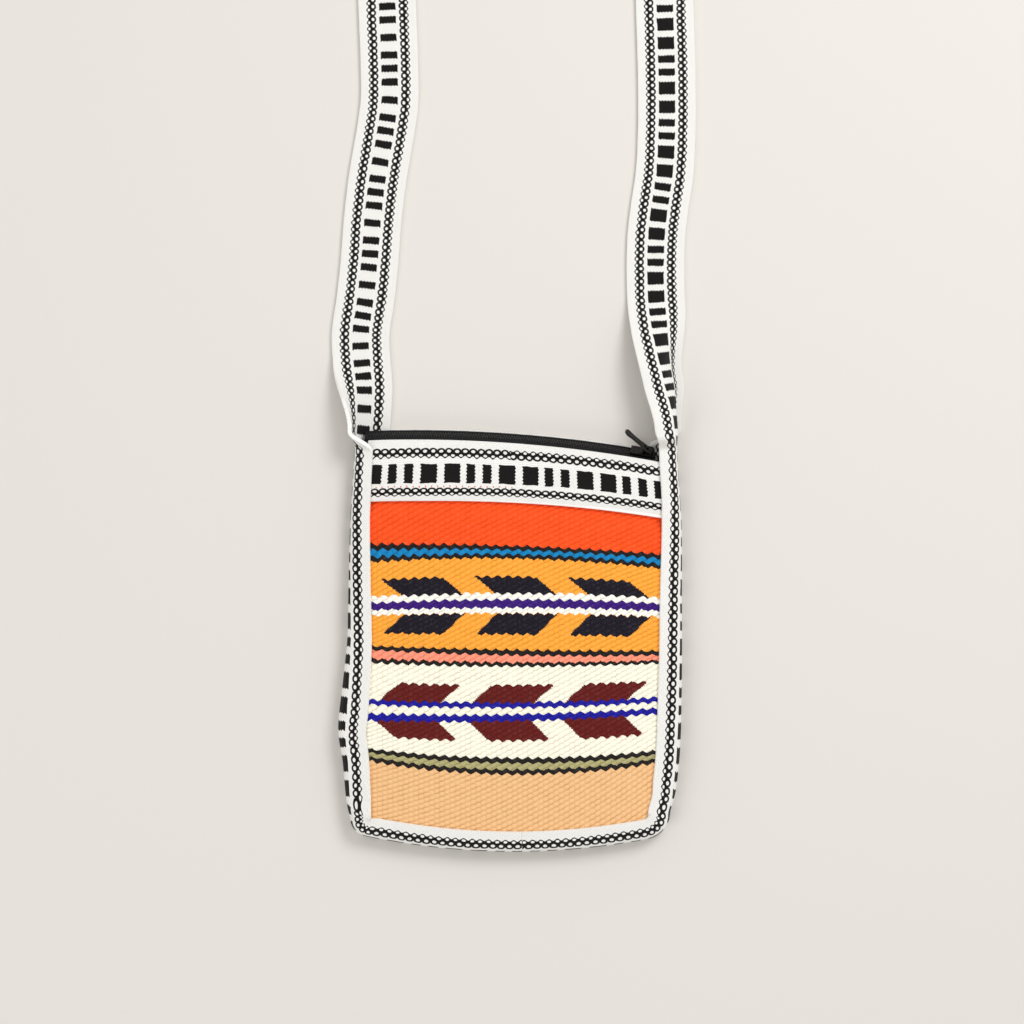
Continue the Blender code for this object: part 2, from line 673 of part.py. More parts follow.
def zip_teeth(name, side, look, collection):
    """One row of moulded teeth on its spine; side is 1 at the front and -1 at the back.

    The cells between the teeth are taken out of a two-row grid, and each tooth is tapered.
    """
    pitch_angle = TOOTH_PITCH / ZIP_RADIUS
    count = TEETH_COUNT if side > 0 else TEETH_COUNT - 1
    first = ZIP_START + (0.5 if side > 0 else 1.0) * pitch_angle
    across = (TEETH_HALF_WIDTH, TEETH_HALF_WIDTH - TEETH_SPINE,
              -(TEETH_HALF_WIDTH - TEETH_SPINE - GAP))

    def position(column, row):
        tooth, far_side = divmod(column, 2)
        half = (TOOTH_TIP_WIDTH if row == 2 else TOOTH_ROOT_WIDTH) / 2 / ZIP_RADIUS
        angle = first + tooth * pitch_angle + (half if far_side else -half)
        return zip_point(angle, side * across[row], 0.0)

    grid = bmesh.new()
    columns = 2 * count - 1
    bmesh.ops.create_grid(grid, x_segments=columns, y_segments=2, size=0.5)
    spaces = [face for face in grid.faces if face.calc_center_median().y > 0
              and int((face.calc_center_median().x + 0.5) * columns) % 2]
    bmesh.ops.delete(grid, geom=spaces, context="FACES")
    for vertex in grid.verts:
        column = round((vertex.co.x + 0.5) * columns)
        row = round((vertex.co.y + 0.5) * 2)
        vertex.co = position(column, row)
    mesh = bpy.data.meshes.new(name)
    grid.to_mesh(mesh)
    grid.free()
    return finish_sheet(name, mesh, TEETH_THICKNESS, look, collection)


def outline_solid(name, outlines, half_depth):
    """Mesh of a flat outline, with holes if more than one is given, with its depth put on."""
    curve = bpy.data.curves.new(name, "CURVE")
    curve.dimensions = "2D"
    curve.fill_mode = "BOTH"
    curve.extrude = half_depth
    for outline in outlines:
        spline = curve.splines.new("POLY")
        spline.points.add(len(outline) - 1)
        for point, (x, y) in zip(spline.points, outline):
            point.co = (x, y, 0.0, 1.0)
        spline.use_cyclic_u = True
    temporary = bpy.data.objects.new(name, curve)
    bpy.context.scene.collection.objects.link(temporary)
    bpy.context.view_layer.update()
    evaluated = temporary.evaluated_get(bpy.context.evaluated_depsgraph_get())
    mesh = bpy.data.meshes.new_from_object(evaluated)
    bpy.data.objects.remove(temporary)
    welded = bmesh.new()
    welded.from_mesh(mesh)
    bmesh.ops.remove_doubles(welded, verts=welded.verts, dist=0.00001)
    bmesh.ops.recalc_face_normals(welded, faces=welded.faces)
    if welded.calc_volume(signed=True) < 0:
        bmesh.ops.reverse_faces(welded, faces=welded.faces)
    welded.to_mesh(mesh)
    welded.free()
    mesh.name = name
    return mesh


def turned_mesh(mesh, rows):
    """The mesh with its own x, y and z laid along three given directions."""
    mesh.transform(Matrix(rows).transposed().to_4x4())
    return mesh


# Slider frame: x along the zip to its closed end, y across to the back, z outward
ALONG = Vector((1, 0, 0))
ACROSS = Vector((0, 1, 0))
OUTWARD = Vector((0, 0, 1))
PLATE_INNER = TEETH_THICKNESS / 2 + SLIDER_CLEARANCE
PLATE_OUTER = PLATE_INNER + SLIDER_PLATE
SLOT_HALF = TAPE_THICKNESS / 2 + GAP
CROWN_PIVOT = PLATE_OUTER + CROWN_OPENING_HEIGHT / 2
SLIDER_ANGLE = ZIP_END - (SLIDER_END_INSET + SLIDER_LENGTH / 2) / ZIP_RADIUS


def channel_outline(side):
    """Section of one slider plate with its two turned edges."""
    wide, inner = SLIDER_HALF_WIDTH, SLIDER_HALF_WIDTH - SLIDER_FLANGE
    corners = [(-wide, PLATE_OUTER), (wide, PLATE_OUTER), (wide, SLOT_HALF), (inner, SLOT_HALF),
               (inner, PLATE_INNER), (-inner, PLATE_INNER), (-inner, SLOT_HALF),
               (-wide, SLOT_HALF)]
    return [(across, side * out) for across, out in corners]


def zip_slider(look, collection, cutters, pivot):
    """Cast slider: two plates with turned edges, the wedge between them and the crown."""
    frame = slider_frame()
    parts = []
    for side in (1, -1):
        plate = outline_solid("plate", [channel_outline(side)], SLIDER_LENGTH / 2)
        parts.append(turned_mesh(plate, (ACROSS, OUTWARD, ALONG)))
    front = SLIDER_LENGTH / 2 - WEDGE_SETBACK
    wedge = [(front, WEDGE_WIDTH / 2), (front - WEDGE_LENGTH, WEDGE_WIDTH / 8),
             (front - WEDGE_LENGTH, -WEDGE_WIDTH / 8), (front, -WEDGE_WIDTH / 2)]
    parts.append(outline_solid("wedge", [wedge], (PLATE_INNER + PLATE_OUTER) / 2))
    half = CROWN_HALF_OPENING + CROWN_WALL
    top = PLATE_OUTER + CROWN_OPENING_HEIGHT
    foot = PLATE_OUTER - SLIDER_PLATE / 2
    shoulder = top + CROWN_WALL / 3
    rim = [(-half, foot), (half, foot), (half, shoulder),
           (half - CROWN_WALL, top + CROWN_WALL), (-half + CROWN_WALL, top + CROWN_WALL),
           (-half, shoulder)]
    sill = PLATE_OUTER - SLIDER_PLATE / 4
    hole = [(-CROWN_HALF_OPENING, sill), (CROWN_HALF_OPENING, sill),
            (CROWN_HALF_OPENING, top), (-CROWN_HALF_OPENING, top)]
    rim = [(x + CROWN_OFFSET, z) for x, z in rim]
    hole = [(x + CROWN_OFFSET, z) for x, z in hole]
    crown = outline_solid("crown", [rim, hole], CROWN_WIDTH / 2)
    parts.append(turned_mesh(crown, (ALONG, OUTWARD, -ACROSS)))
    made = bpy.data.objects.new("zip_slider", parts[0])
    collection.objects.link(made)
    made.parent = pivot
    made.matrix_world = frame
    for mesh in parts[1:]:
        tool = bpy.data.objects.new("slider_" + mesh.name, mesh)
        cutters.objects.link(tool)
        tool.matrix_world = frame
        tool.hide_render = True
        tool.display_type = "WIRE"
        union = made.modifiers.new(mesh.name, "BOOLEAN")
        union.operation = "UNION"
        union.object = tool
    parts[0].materials.append(look)
    return made


def slider_frame():
    """Matrix of the slider's own directions at its place on the zip."""
    origin = zip_point(SLIDER_ANGLE, 0.0, 0.0)
    across = (origin - zip_point(SLIDER_ANGLE, 1.0, 0.0)).normalized()
    outward = (zip_point(SLIDER_ANGLE, 0.0, 1.0) - origin).normalized()
    along = across.cross(outward)
    turn = Matrix((along, across, outward)).transposed().to_4x4()
    return Matrix.Translation(origin) @ turn


def zip_pull(look, collection, pivot):
    """Pull tab on a cross bar that turns inside the slider's crown."""
    arm_inner = CROWN_WIDTH / 2 + GAP
    bar = PULL_BAR / 2
    slot_end = math.hypot(CROWN_HALF_OPENING + CROWN_WALL,
                          CROWN_OPENING_HEIGHT / 2 + CROWN_WALL) + GAP
    wide = PULL_WIDTH / 2
    waist = wide - PULL_WAIST
    rim = [(-bar, -wide), (slot_end, -wide), (slot_end + PULL_SHOULDER, -waist),
           (PULL_LENGTH - 2 * PULL_SHOULDER, -waist), (PULL_LENGTH - PULL_SHOULDER, -wide),
           (PULL_LENGTH - PULL_CHAMFER, -wide), (PULL_LENGTH, -wide + PULL_CHAMFER)]
    rim += [(x, -y) for x, y in reversed(rim)]
    slot = [(bar, -arm_inner), (slot_end, -arm_inner), (slot_end, arm_inner), (bar, arm_inner)]
    mesh = outline_solid("zip_pull", [rim, slot], PULL_THICKNESS / 2)
    made = bpy.data.objects.new("zip_pull", mesh)
    collection.objects.link(made)
    mesh.materials.append(look)
    frame = slider_frame()
    place = frame @ Matrix.Translation((CROWN_OFFSET, 0.0, CROWN_PIVOT))
    lean = Matrix.Rotation(math.pi + PULL_REST_ANGLE, 4, "Y")
    made.parent = pivot
    made.matrix_world = place @ lean
    return made


def empty(name, place, collection):
    made = bpy.data.objects.new(name, None)
    collection.objects.link(made)
    made.location = place
    return made


def build():
    for old in list(bpy.data.objects):
        bpy.data.objects.remove(old)
    collection = bpy.data.collections.new("woven_crossbody_bag")
    cutters = bpy.data.collections.new("shaping_tools")
    bpy.context.scene.collection.children.link(collection)
    bpy.context.scene.collection.children.link(cutters)
    white_wool = material("white_wool", (0.90, 0.89, 0.86), 0.9)
    striped_wool = material("striped_wool", (0.85, 0.42, 0.12), 0.9)
    plain_wool = material("plain_wool", (0.88, 0.60, 0.32), 0.9)
    black_tape = material("black_tape", (0.02, 0.02, 0.022), 0.8)
    black_teeth = material("black_teeth", (0.015, 0.015, 0.017), 0.35)
    black_metal = material("black_metal", (0.03, 0.03, 0.033), 0.3, 0.6)
    shoulder_band(white_wool, collection)
    front_panel(striped_wool, collection)
    front_top_band(white_wool, collection)
    flat_back("back_panel", None, TOP_BAND_END + GAP / 2, PANEL_THICKNESS, plain_wool, collection)
    back_start = below_zip(*zip_point(0.0, -TAPE_PLANE_HALF_WIDTH, 0.0).xy)
    flat_back("back_top_band", TOP_BAND_END - GAP / 2, back_start, BAND_THICKNESS, white_wool,
              collection)
    zip_tape_front(black_tape, collection)
    zip_tape_back(black_tape, collection)
    zip_teeth("zip_teeth_front", 1, black_teeth, collection)
    zip_teeth("zip_teeth_back", -1, black_teeth, collection)
    travel = empty("slider_travel", (ZIP_CENTRE.x, ZIP_CENTRE.y, ZIP_HEIGHT), collection)
    bpy.context.view_layer.update()
    zip_slider(black_metal, collection, cutters, travel)
    swing = empty("pull_swing", slider_frame() @ Vector((CROWN_OFFSET, 0.0, CROWN_PIVOT)),
                  collection)
    bpy.context.view_layer.update()
    zip_pull(black_metal, collection, swing)


build()
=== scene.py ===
"""Finishes of a small hand-woven crossbody bag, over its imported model.

Metres, +Z up out of the front panel, +Y towards the zip. The bag lies on its back.
"""
import math

import bmesh
import bpy
import numpy as np
from mathutils import Matrix, Vector


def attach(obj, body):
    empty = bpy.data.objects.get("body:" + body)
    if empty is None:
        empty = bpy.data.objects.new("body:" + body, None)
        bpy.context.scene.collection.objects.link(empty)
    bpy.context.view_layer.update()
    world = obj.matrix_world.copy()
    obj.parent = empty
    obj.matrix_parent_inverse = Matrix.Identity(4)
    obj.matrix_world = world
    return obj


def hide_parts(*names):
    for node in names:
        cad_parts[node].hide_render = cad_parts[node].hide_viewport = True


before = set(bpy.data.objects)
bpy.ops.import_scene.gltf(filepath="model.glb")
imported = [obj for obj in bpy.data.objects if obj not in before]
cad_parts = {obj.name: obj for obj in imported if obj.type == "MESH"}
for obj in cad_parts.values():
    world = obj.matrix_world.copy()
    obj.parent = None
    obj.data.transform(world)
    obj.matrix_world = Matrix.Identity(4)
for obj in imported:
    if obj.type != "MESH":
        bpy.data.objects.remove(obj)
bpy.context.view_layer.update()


# Camera, floor and light. The photograph looks straight down at the bag, from far enough
# that its sides look parallel. The floor is plain and pale, and the light soft.
PICTURE_WIDTH = 0.606
PICTURE_CENTRE = (-0.0012, 0.0778)
CAMERA_HEIGHT = 1.70
SENSOR_WIDTH = 36.0
FLOOR_SIZE = 8.0
FLOOR_DROP = 0.0004
FLOOR_COLOUR = (0.72, 0.69, 0.65, 1.0)
SKY_COLOUR = (1.0, 0.99, 0.97, 1.0)
SKY_STRENGTH = 0.70
LAMP_AIM = Vector((0.0, 0.1, 0.0))
# Name, place, width and power of each lamp
LAMPS = (("key_light", (0.9, 1.1, 1.5), 0.9, 19.0),
         ("fill_light", (-1.1, -0.8, 1.4), 1.2, 6.7))

camera = bpy.data.objects.new("camera", bpy.data.cameras.new("camera"))
bpy.context.scene.collection.objects.link(camera)
camera.data.sensor_width = SENSOR_WIDTH
camera.data.lens = SENSOR_WIDTH * CAMERA_HEIGHT / PICTURE_WIDTH
camera.location = (*PICTURE_CENTRE, CAMERA_HEIGHT)
bpy.context.scene.camera = camera
bpy.context.scene.view_settings.view_transform = "Standard"

floor_mesh = bpy.data.meshes.new("floor")
floor_form = bmesh.new()
bmesh.ops.create_grid(floor_form, x_segments=1, y_segments=1, size=FLOOR_SIZE / 2)
floor_form.to_mesh(floor_mesh)
floor_form.free()
floor = bpy.data.objects.new("floor", floor_mesh)
bpy.context.scene.collection.objects.link(floor)
floor.location.z = -FLOOR_DROP
floor_look = bpy.data.materials.new("pale_floor")
floor_look.use_nodes = True
floor_shader = floor_look.node_tree.nodes["Principled BSDF"]
floor_shader.inputs["Base Color"].default_value = FLOOR_COLOUR
floor_shader.inputs["Roughness"].default_value = 0.8
floor_mesh.materials.append(floor_look)

world = bpy.data.worlds.new("studio")
world.use_nodes = True
sky = world.node_tree.nodes["Background"]
sky.inputs["Color"].default_value = SKY_COLOUR
sky.inputs["Strength"].default_value = SKY_STRENGTH
bpy.context.scene.world = world

for lamp_name, lamp_place, width, power in LAMPS:
    lamp = bpy.data.objects.new(lamp_name, bpy.data.lights.new(lamp_name, "AREA"))
    bpy.context.scene.collection.objects.link(lamp)
    lamp.data.shape = "DISK"
    lamp.data.size = width
    lamp.data.energy = power
    lamp.location = lamp_place
    lamp.rotation_euler = (Vector(lamp_place) - LAMP_AIM).to_track_quat("Z", "Y").to_euler()


# Shoulder band: one long band woven of white and black wool. It is folded round the sides and
# the bottom of the body as its gusset, turns over beside the zip and runs on as the strap.
BAG_WIDTH = 0.195
BAG_HEIGHT = 0.2424
HALF_WIDTH = BAG_WIDTH / 2
BOTTOM_Y = -BAG_HEIGHT / 2
ZIP_Y = BAG_HEIGHT / 2
BOTTOM_BOW = 0.0115
CORNER_RADIUS_LEFT = 0.010
CORNER_RADIUS_RIGHT = 0.0155
CORNER_INSET_LEFT = 0.0020
CORNER_INSET_RIGHT = 0.0065
CORNER_MIDDLE_RISE = 0.35
BAND_WIDTH = 0.034
BAND_THICKNESS = 0.0022
BAND_SOFT_EDGE = 0.0006
# The fold that wraps the body's edge, a little open towards the front
FOLD_DEGREES = 170
FOLD_ANGLE = math.radians(FOLD_DEGREES)
FLAP_SLOPE = math.radians(180 - FOLD_DEGREES)
FOLD_RADIUS = 0.0060
FOLD_RADIUS_AT_ZIP = 0.0072
FOLD_RADIUS_REACH = 0.055
FOLD_SHIFT = 0.0025
FOLD_LENGTH = BAND_WIDTH / 2 - FOLD_SHIFT
CORNER_GATHER = 0.78
# The seam of the band's two ends, in the bottom
SEAM_X = 0.0047
SEAM_GAP = 0.0001
SEAM_STRAIGHT = 0.0030
# The strap, which turns over about its apex, and starts just below or above the zip
STRAP_REACH = 0.424
STRAP_APEX_RADIUS = 0.082
STRAP_TILT = 0.0026
APEX_TURN = 0.200
LEFT_STRAP_BELOW_ZIP = 0.002
RIGHT_STRAP_ABOVE_ZIP = 0.004
# How the fold opens past the zip: rise, degrees of fold and, at the right, of the outer
# edge's bend back
COUNTER_WIDTH = 0.0055
LEFT_OPENING = ((-0.008, FOLD_DEGREES), (0.003, 88), (0.0545, 0))
RIGHT_OPENING = ((0.003, FOLD_DEGREES, 0), (0.014, 118, 118), (0.044, 80, 80), (0.098, 0, 0))
# The zip's line is an arc in plan
ZIP_RADIUS = 0.812
ZIP_MIDDLE_X = -0.0020
ZIP_SLANT = math.radians(4.07)
ZIP_CENTRE = (Vector((ZIP_MIDDLE_X, ZIP_Y))
              - ZIP_RADIUS * Vector((math.sin(ZIP_SLANT), math.cos(ZIP_SLANT))))
# Points of the crease: shares of half the width along the bottom, then on each side how far
# out it lies at a share of the height, and on each leg how far in at a rise above the zip
PATH_STEP = 0.001
BOTTOM_LEFT = (-0.15, -0.35, -0.55, -0.72)
BOTTOM_RIGHT = (0.62, 0.42, 0.20)
CORNER_POINTS_LEFT = 5
CORNER_POINTS_RIGHT = 6
APEX_POINTS = 9
LEFT_SIDE = ((0.0000, 0.115), (0.0024, 0.215), (0.0050, 0.290), (0.0022, 0.410),
             (-0.0003, 0.510), (-0.0009, 0.610), (-0.0022, 0.800), (-0.0044, 0.945))
RIGHT_SIDE = ((-0.0035, 0.140), (-0.0009, 0.235), (0.0003, 0.410), (0.0003, 0.610),
              (0.0000, 0.790), (-0.0024, 0.945))
LEFT_LEG = ((0.0060, 0.012), (0.0063, 0.030), (0.0050, 0.045), (0.0043, 0.062),
            (0.0071, 0.082), (0.0095, 0.104), (0.0115, 0.130), (0.0145, 0.155),
            (0.0189, 0.181), (0.0214, 0.200), (0.0212, 0.226), (0.0199, 0.262))
RIGHT_LEG = ((0.0032, 0.006), (0.0050, 0.018), (0.0085, 0.033), (0.0120, 0.050),
             (0.0144, 0.065), (0.0160, 0.083), (0.0164, 0.103), (0.0158, 0.121),
             (0.0138, 0.138), (0.0110, 0.157), (0.0098, 0.180), (0.0097, 0.212),
             (0.0110, 0.262))


def ease(share):
    """Smooth step from 0 to 1."""
    share = min(max(share, 0.0), 1.0)
    return share * share * (3 - 2 * share)


def eased_keys(place, keys):
    """Value at a place between keys of (place, value), smoothed between them."""
    for (low, first), (high, second) in zip(keys, keys[1:]):
        if place <= high:
            return first + (second - first) * ease((place - low) / max(high - low, 1e-9))
    return keys[-1][1]


def arc_points(centre, radius, start, end, count):
    """Points on an arc in plan, from the start angle to the end angle."""
    points = []
    for index in range(count):
        angle = start + (end - start) * index / (count - 1)
        points.append((centre[0] + radius * math.cos(angle), centre[1] + radius * math.sin(angle)))
    return points


def bottom_height(x):
    """Height in plan of the bottom crease, which bows down in the middle."""
    return BOTTOM_Y + BOTTOM_BOW * (x / HALF_WIDTH) ** 2


def corner_arc(corner_x, radius):
    """Centre of a corner's arc and the angle at which it touches the bowed bottom."""
    x = corner_x - math.copysign(radius, corner_x)
    slope = math.atan(2 * BOTTOM_BOW * x / HALF_WIDTH ** 2)
    return (x, bottom_height(x) + radius / math.cos(slope)), slope - math.pi / 2


def band_route():
    """Points of the side band's crease: bottom seam, left side, strap, right side, seam."""
    left_arc, left_touch = corner_arc(CORNER_INSET_LEFT - HALF_WIDTH, CORNER_RADIUS_LEFT)
    right_arc, right_touch = corner_arc(HALF_WIDTH - CORNER_INSET_RIGHT, CORNER_RADIUS_RIGHT)
    start = SEAM_X - SEAM_GAP / 2
    points = [(x, bottom_height(x)) for x in (start, start - SEAM_STRAIGHT)]
    points += [(share * HALF_WIDTH, bottom_height(share * HALF_WIDTH)) for share in BOTTOM_LEFT]
    points += arc_points(left_arc, CORNER_RADIUS_LEFT, left_touch, -math.pi, CORNER_POINTS_LEFT)
    points += [(-(HALF_WIDTH + out), BOTTOM_Y + share * BAG_HEIGHT) for out, share in LEFT_SIDE]
    points += [(-(HALF_WIDTH - inward), ZIP_Y + rise) for inward, rise in LEFT_LEG]
    points += arc_points((STRAP_TILT, ZIP_Y + STRAP_REACH), STRAP_APEX_RADIUS, math.pi, 0.0,
                         APEX_POINTS)
    points += [(HALF_WIDTH - inward, ZIP_Y + rise) for inward, rise in reversed(RIGHT_LEG)]
    points += [(HALF_WIDTH + out, BOTTOM_Y + share * BAG_HEIGHT)
               for out, share in reversed(RIGHT_SIDE)]
    points += arc_points(right_arc, CORNER_RADIUS_RIGHT, 0.0, right_touch, CORNER_POINTS_RIGHT)
    points += [(share * HALF_WIDTH, bottom_height(share * HALF_WIDTH)) for share in BOTTOM_RIGHT]
    end = SEAM_X + SEAM_GAP / 2
    points += [(x, bottom_height(x)) for x in (end + SEAM_STRAIGHT, end)]
    return points


def smooth_route(points):
    """Even samples, PATH_STEP apart, of a centripetal Catmull-Rom curve through the points."""
    rows = [Vector(point) for point in points]
    rows = [2 * rows[0] - rows[1]] + rows + [2 * rows[-1] - rows[-2]]
    dense = []
    for index in range(1, len(rows) - 2):
        p0, p1, p2, p3 = rows[index - 1:index + 3]
        t1 = (p1 - p0).length ** 0.5
        t2 = t1 + (p2 - p1).length ** 0.5
        t3 = t2 + (p3 - p2).length ** 0.5
        steps = max(int((p2 - p1).length / (PATH_STEP / 2)), 2)
        for step in range(steps):
            t = t1 + (t2 - t1) * step / steps
            a1 = p0 * ((t1 - t) / t1) + p1 * (t / t1)
            a2 = p1 * ((t2 - t) / (t2 - t1)) + p2 * ((t - t1) / (t2 - t1))
            a3 = p2 * ((t3 - t) / (t3 - t2)) + p3 * ((t - t2) / (t3 - t2))
            b1 = a1 * ((t2 - t) / t2) + a2 * (t / t2)
            b2 = a2 * ((t3 - t) / (t3 - t1)) + a3 * ((t - t1) / (t3 - t1))
            dense.append(b1 * ((t2 - t) / (t2 - t1)) + b2 * ((t - t1) / (t2 - t1)))
    dense.append(rows[-2])
    plan = np.array([tuple(point) for point in dense])
    lengths = np.concatenate(([0.0], np.cumsum(np.linalg.norm(np.diff(plan, axis=0), axis=1))))
    count = int(lengths[-1] / PATH_STEP)
    places = np.linspace(0.0, lengths[-1], count + 1)
    even = np.stack([np.interp(places, lengths, plan[:, axis]) for axis in (0, 1)], axis=1)
    return even, places


PATH, PLACES = smooth_route(band_route())
PATH_LENGTH = float(PLACES[-1])
TANGENTS = np.gradient(PATH, PLACES, axis=0)
TANGENTS /= np.linalg.norm(TANGENTS, axis=1)[:, None]


def below_zip(x, y):
    """Distance in plan from the zip's arc, positive on the bag's side."""
    return ZIP_RADIUS - math.hypot(x - ZIP_CENTRE.x, y - ZIP_CENTRE.y)


def route_at(place):
    """Point and unit direction of the crease at a length along it; lengths wrap at the seam."""
    place = place % PATH_LENGTH
    point = Vector([np.interp(place, PLACES, PATH[:, axis]) for axis in (0, 1)])
    heading = Vector([np.interp(place, PLACES, TANGENTS[:, axis]) for axis in (0, 1)])
    return point, heading.normalized()


def place_where(test):
    """First length along the crease at which the test holds."""
    for point, place in zip(PATH, PLACES):
        if test(point[0], point[1], place):
            return float(place)
    raise ValueError("the crease has no such place")


LEFT_TOP = place_where(lambda x, y, s: x < 0 and below_zip(x, y) < LEFT_STRAP_BELOW_ZIP)
RIGHT_TOP = place_where(lambda x, y, s: s > PATH_LENGTH / 2
                        and below_zip(x, y) > -RIGHT_STRAP_ABOVE_ZIP)
APEX = LEFT_TOP + (RIGHT_TOP - LEFT_TOP) / 2
LEFT_CORNER = place_where(lambda x, y, s: x < -HALF_WIDTH / 2 and y > bottom_height(x)
                          + CORNER_MIDDLE_RISE * CORNER_RADIUS_LEFT)
RIGHT_CORNER = place_where(lambda x, y, s: s > RIGHT_TOP + BAG_HEIGHT / 2
                           and y < (bottom_height(x)
                                    + CORNER_MIDDLE_RISE * CORNER_RADIUS_RIGHT))


def fold_at(place):
    """Angle through which the band bends across its width."""
    keys = [(0, FOLD_DEGREES)] + [(LEFT_TOP + rise, fold) for rise, fold in LEFT_OPENING]
    keys += [(RIGHT_TOP - rise, fold) for rise, fold, _ in reversed(RIGHT_OPENING)]
    return math.radians(eased_keys(place, keys + [(PATH_LENGTH, FOLD_DEGREES)]))


def counter_at(place):
    """Angle through which the outer edge bends back, where the fold opens at the right."""
    keys = [(0, 0)] + [(RIGHT_TOP - rise, back) for rise, _, back in reversed(RIGHT_OPENING)]
    return math.radians(eased_keys(place, keys + [(PATH_LENGTH, 0)]))


def roll_at(place):
    """Angle of the band's cross line at the crease, from inward, turning towards +Z."""
    if place < APEX - APEX_TURN:
        return 2 * math.pi - fold_at(place) / 2
    if place > APEX + APEX_TURN:
        return math.pi + fold_at(place) * (0.5 + FLAP_SLOPE / FOLD_ANGLE)
    keys = ((APEX - APEX_TURN, 360), (APEX, 270), (APEX + APEX_TURN, 180))
    return math.radians(eased_keys(place, keys))


def fold_radius(below):
    """Radius of the folded edge, a little fuller beside the zip."""
    share = ease((FOLD_RADIUS_REACH - below) / FOLD_RADIUS_REACH)
    return FOLD_RADIUS + (FOLD_RADIUS_AT_ZIP - FOLD_RADIUS) * share


def gather_at(place, reach):
    """Share of its reach that a flap keeps where the crease turns a corner tighter than it."""
    share = 1.0
    for corner, radius in ((LEFT_CORNER, CORNER_RADIUS_LEFT), (RIGHT_CORNER, CORNER_RADIUS_RIGHT)):
        kept = min(CORNER_GATHER * radius / reach, 1.0)
        half = radius * math.pi / 4
        away = abs(place % PATH_LENGTH - corner)
        share = min(share, kept + (1 - kept) * ease((away - half) / half))
    return share


def section_point(across, roll, fold, counter, bend_half):
    """Offset inward and up of the band's middle surface, at a distance from the crease."""
    folded = max(min(across, bend_half), -bend_half)
    countered = max(min(across - folded, COUNTER_WIDTH), 0.0)
    inward, up, angle = 0.0, 0.0, roll
    for length, rate in ((folded, fold / 2 / bend_half), (countered, -counter / COUNTER_WIDTH),
                         (across - folded - countered, 0.0)):
        turned = angle + rate * length
        if abs(rate) < 1e-6:
            inward += length * math.cos(angle)
            up += length * math.sin(angle)
        else:
            inward += (math.sin(turned) - math.sin(angle)) / rate
            up += (math.cos(angle) - math.cos(turned)) / rate
        angle = turned
    return inward, up, angle


def section_at(place, acrosses):
    """Inward and up offsets of the band across its width, resting on the floor."""
    point, _ = route_at(place)
    roll = roll_at(place)
    fold = fold_at(place)
    counter = counter_at(place)
    bend_half = fold_radius(below_zip(*point)) * FOLD_ANGLE / 2
    rows = [section_point(across, roll, fold, counter, bend_half) for across in acrosses]
    lowest = min(up - BAND_THICKNESS / 2 * abs(math.cos(angle)) for _, up, angle in rows)
    front = gather_at(place, rows[0][0])
    back = gather_at(place, rows[-1][0])
    placed = []
    for across, (inward, up, _) in zip(acrosses, rows):
        kept = front if across < 0 else back
        placed.append((inward * kept if fold > 0.5 * FOLD_ANGLE else inward, up - lowest))
    return placed


# How far the band has slid towards the front, at heights in plan, on each side
LEFT_SLIDE = ((-0.112, 0.0008), (-0.104, 0.0020), (-0.096, 0.0032), (-0.081, 0.0038),
              (-0.040, 0.0058), (0.010, 0.0028), (0.075, 0.0))
RIGHT_SLIDE = ((-0.112, 0.0008), (-0.098, 0.0018), (-0.081, 0.0030), (-0.040, 0.0028),
               (0.030, 0.0016), (0.085, 0.0))


def slide_at(place):
    """How far the band has slid round the body's side towards the front."""
    point = route_at(place)[0]
    heights, slides = zip(*(LEFT_SLIDE if point.x < 0 else RIGHT_SLIDE))
    return float(np.interp(point.y, heights, slides))


def cloth_object(name, columns, rows, position, chart, looks, thickness=0.0, soft_edge=0.0):
    """A grid of cloth: position and chart give a vertex's place and its point on the flat cloth.

    Both take (column, row). With a thickness the sheet gets its back and edges, and looks[1:]
    are put on them.
    """
    grid = bmesh.new()
    bmesh.ops.create_grid(grid, x_segments=columns, y_segments=rows, size=0.5)
    flat = grid.loops.layers.uv.new("cloth")
    spots = {}
    for vertex in grid.verts:
        spot = (round((vertex.co.x + 0.5) * columns), round((vertex.co.y + 0.5) * rows))
        vertex.co = position(*spot)
        spots[vertex] = chart(*spot)
    for face in grid.faces:
        for loop in face.loops:
            loop[flat].uv = spots[loop.vert]
    mesh = bpy.data.meshes.new(name)
    grid.to_mesh(mesh)
    grid.free()
    for look in looks:
        mesh.materials.append(look)
    mesh.shade_smooth()
    made = bpy.data.objects.new(name, mesh)
    bpy.context.scene.collection.objects.link(made)
    if thickness:
        solid = made.modifiers.new("cloth", "SOLIDIFY")
        solid.thickness = thickness
        solid.offset = 0.0
        solid.material_offset = min(len(looks) - 1, 1)
        solid.material_offset_rim = min(len(looks) - 1, 2)
        if soft_edge:
            edge = made.modifiers.new("soft edge", "BEVEL")
            edge.width = soft_edge
            edge.segments = 2
            edge.limit_method = "ANGLE"
            edge.angle_limit = math.radians(60)
            edge.use_clamp_overlap = True
    return made


def node(tree, kind, **settings):
    """New shader node with its settings."""
    made = tree.nodes.new(kind)
    for setting, value in settings.items():
        setattr(made, setting, value)
    return made


def feed(tree, socket, value):
    """Links a socket, or sets a plain value."""
    if isinstance(value, bpy.types.NodeSocket):
        tree.links.new(value, socket)
    else:
        socket.default_value = value


def calc(tree, operation, *values):
    """Result of a math node on sockets or numbers."""
    made = node(tree, "ShaderNodeMath", operation=operation)
    for index, value in enumerate(values):
        feed(tree, made.inputs[index], value)
    return made.outputs[0]


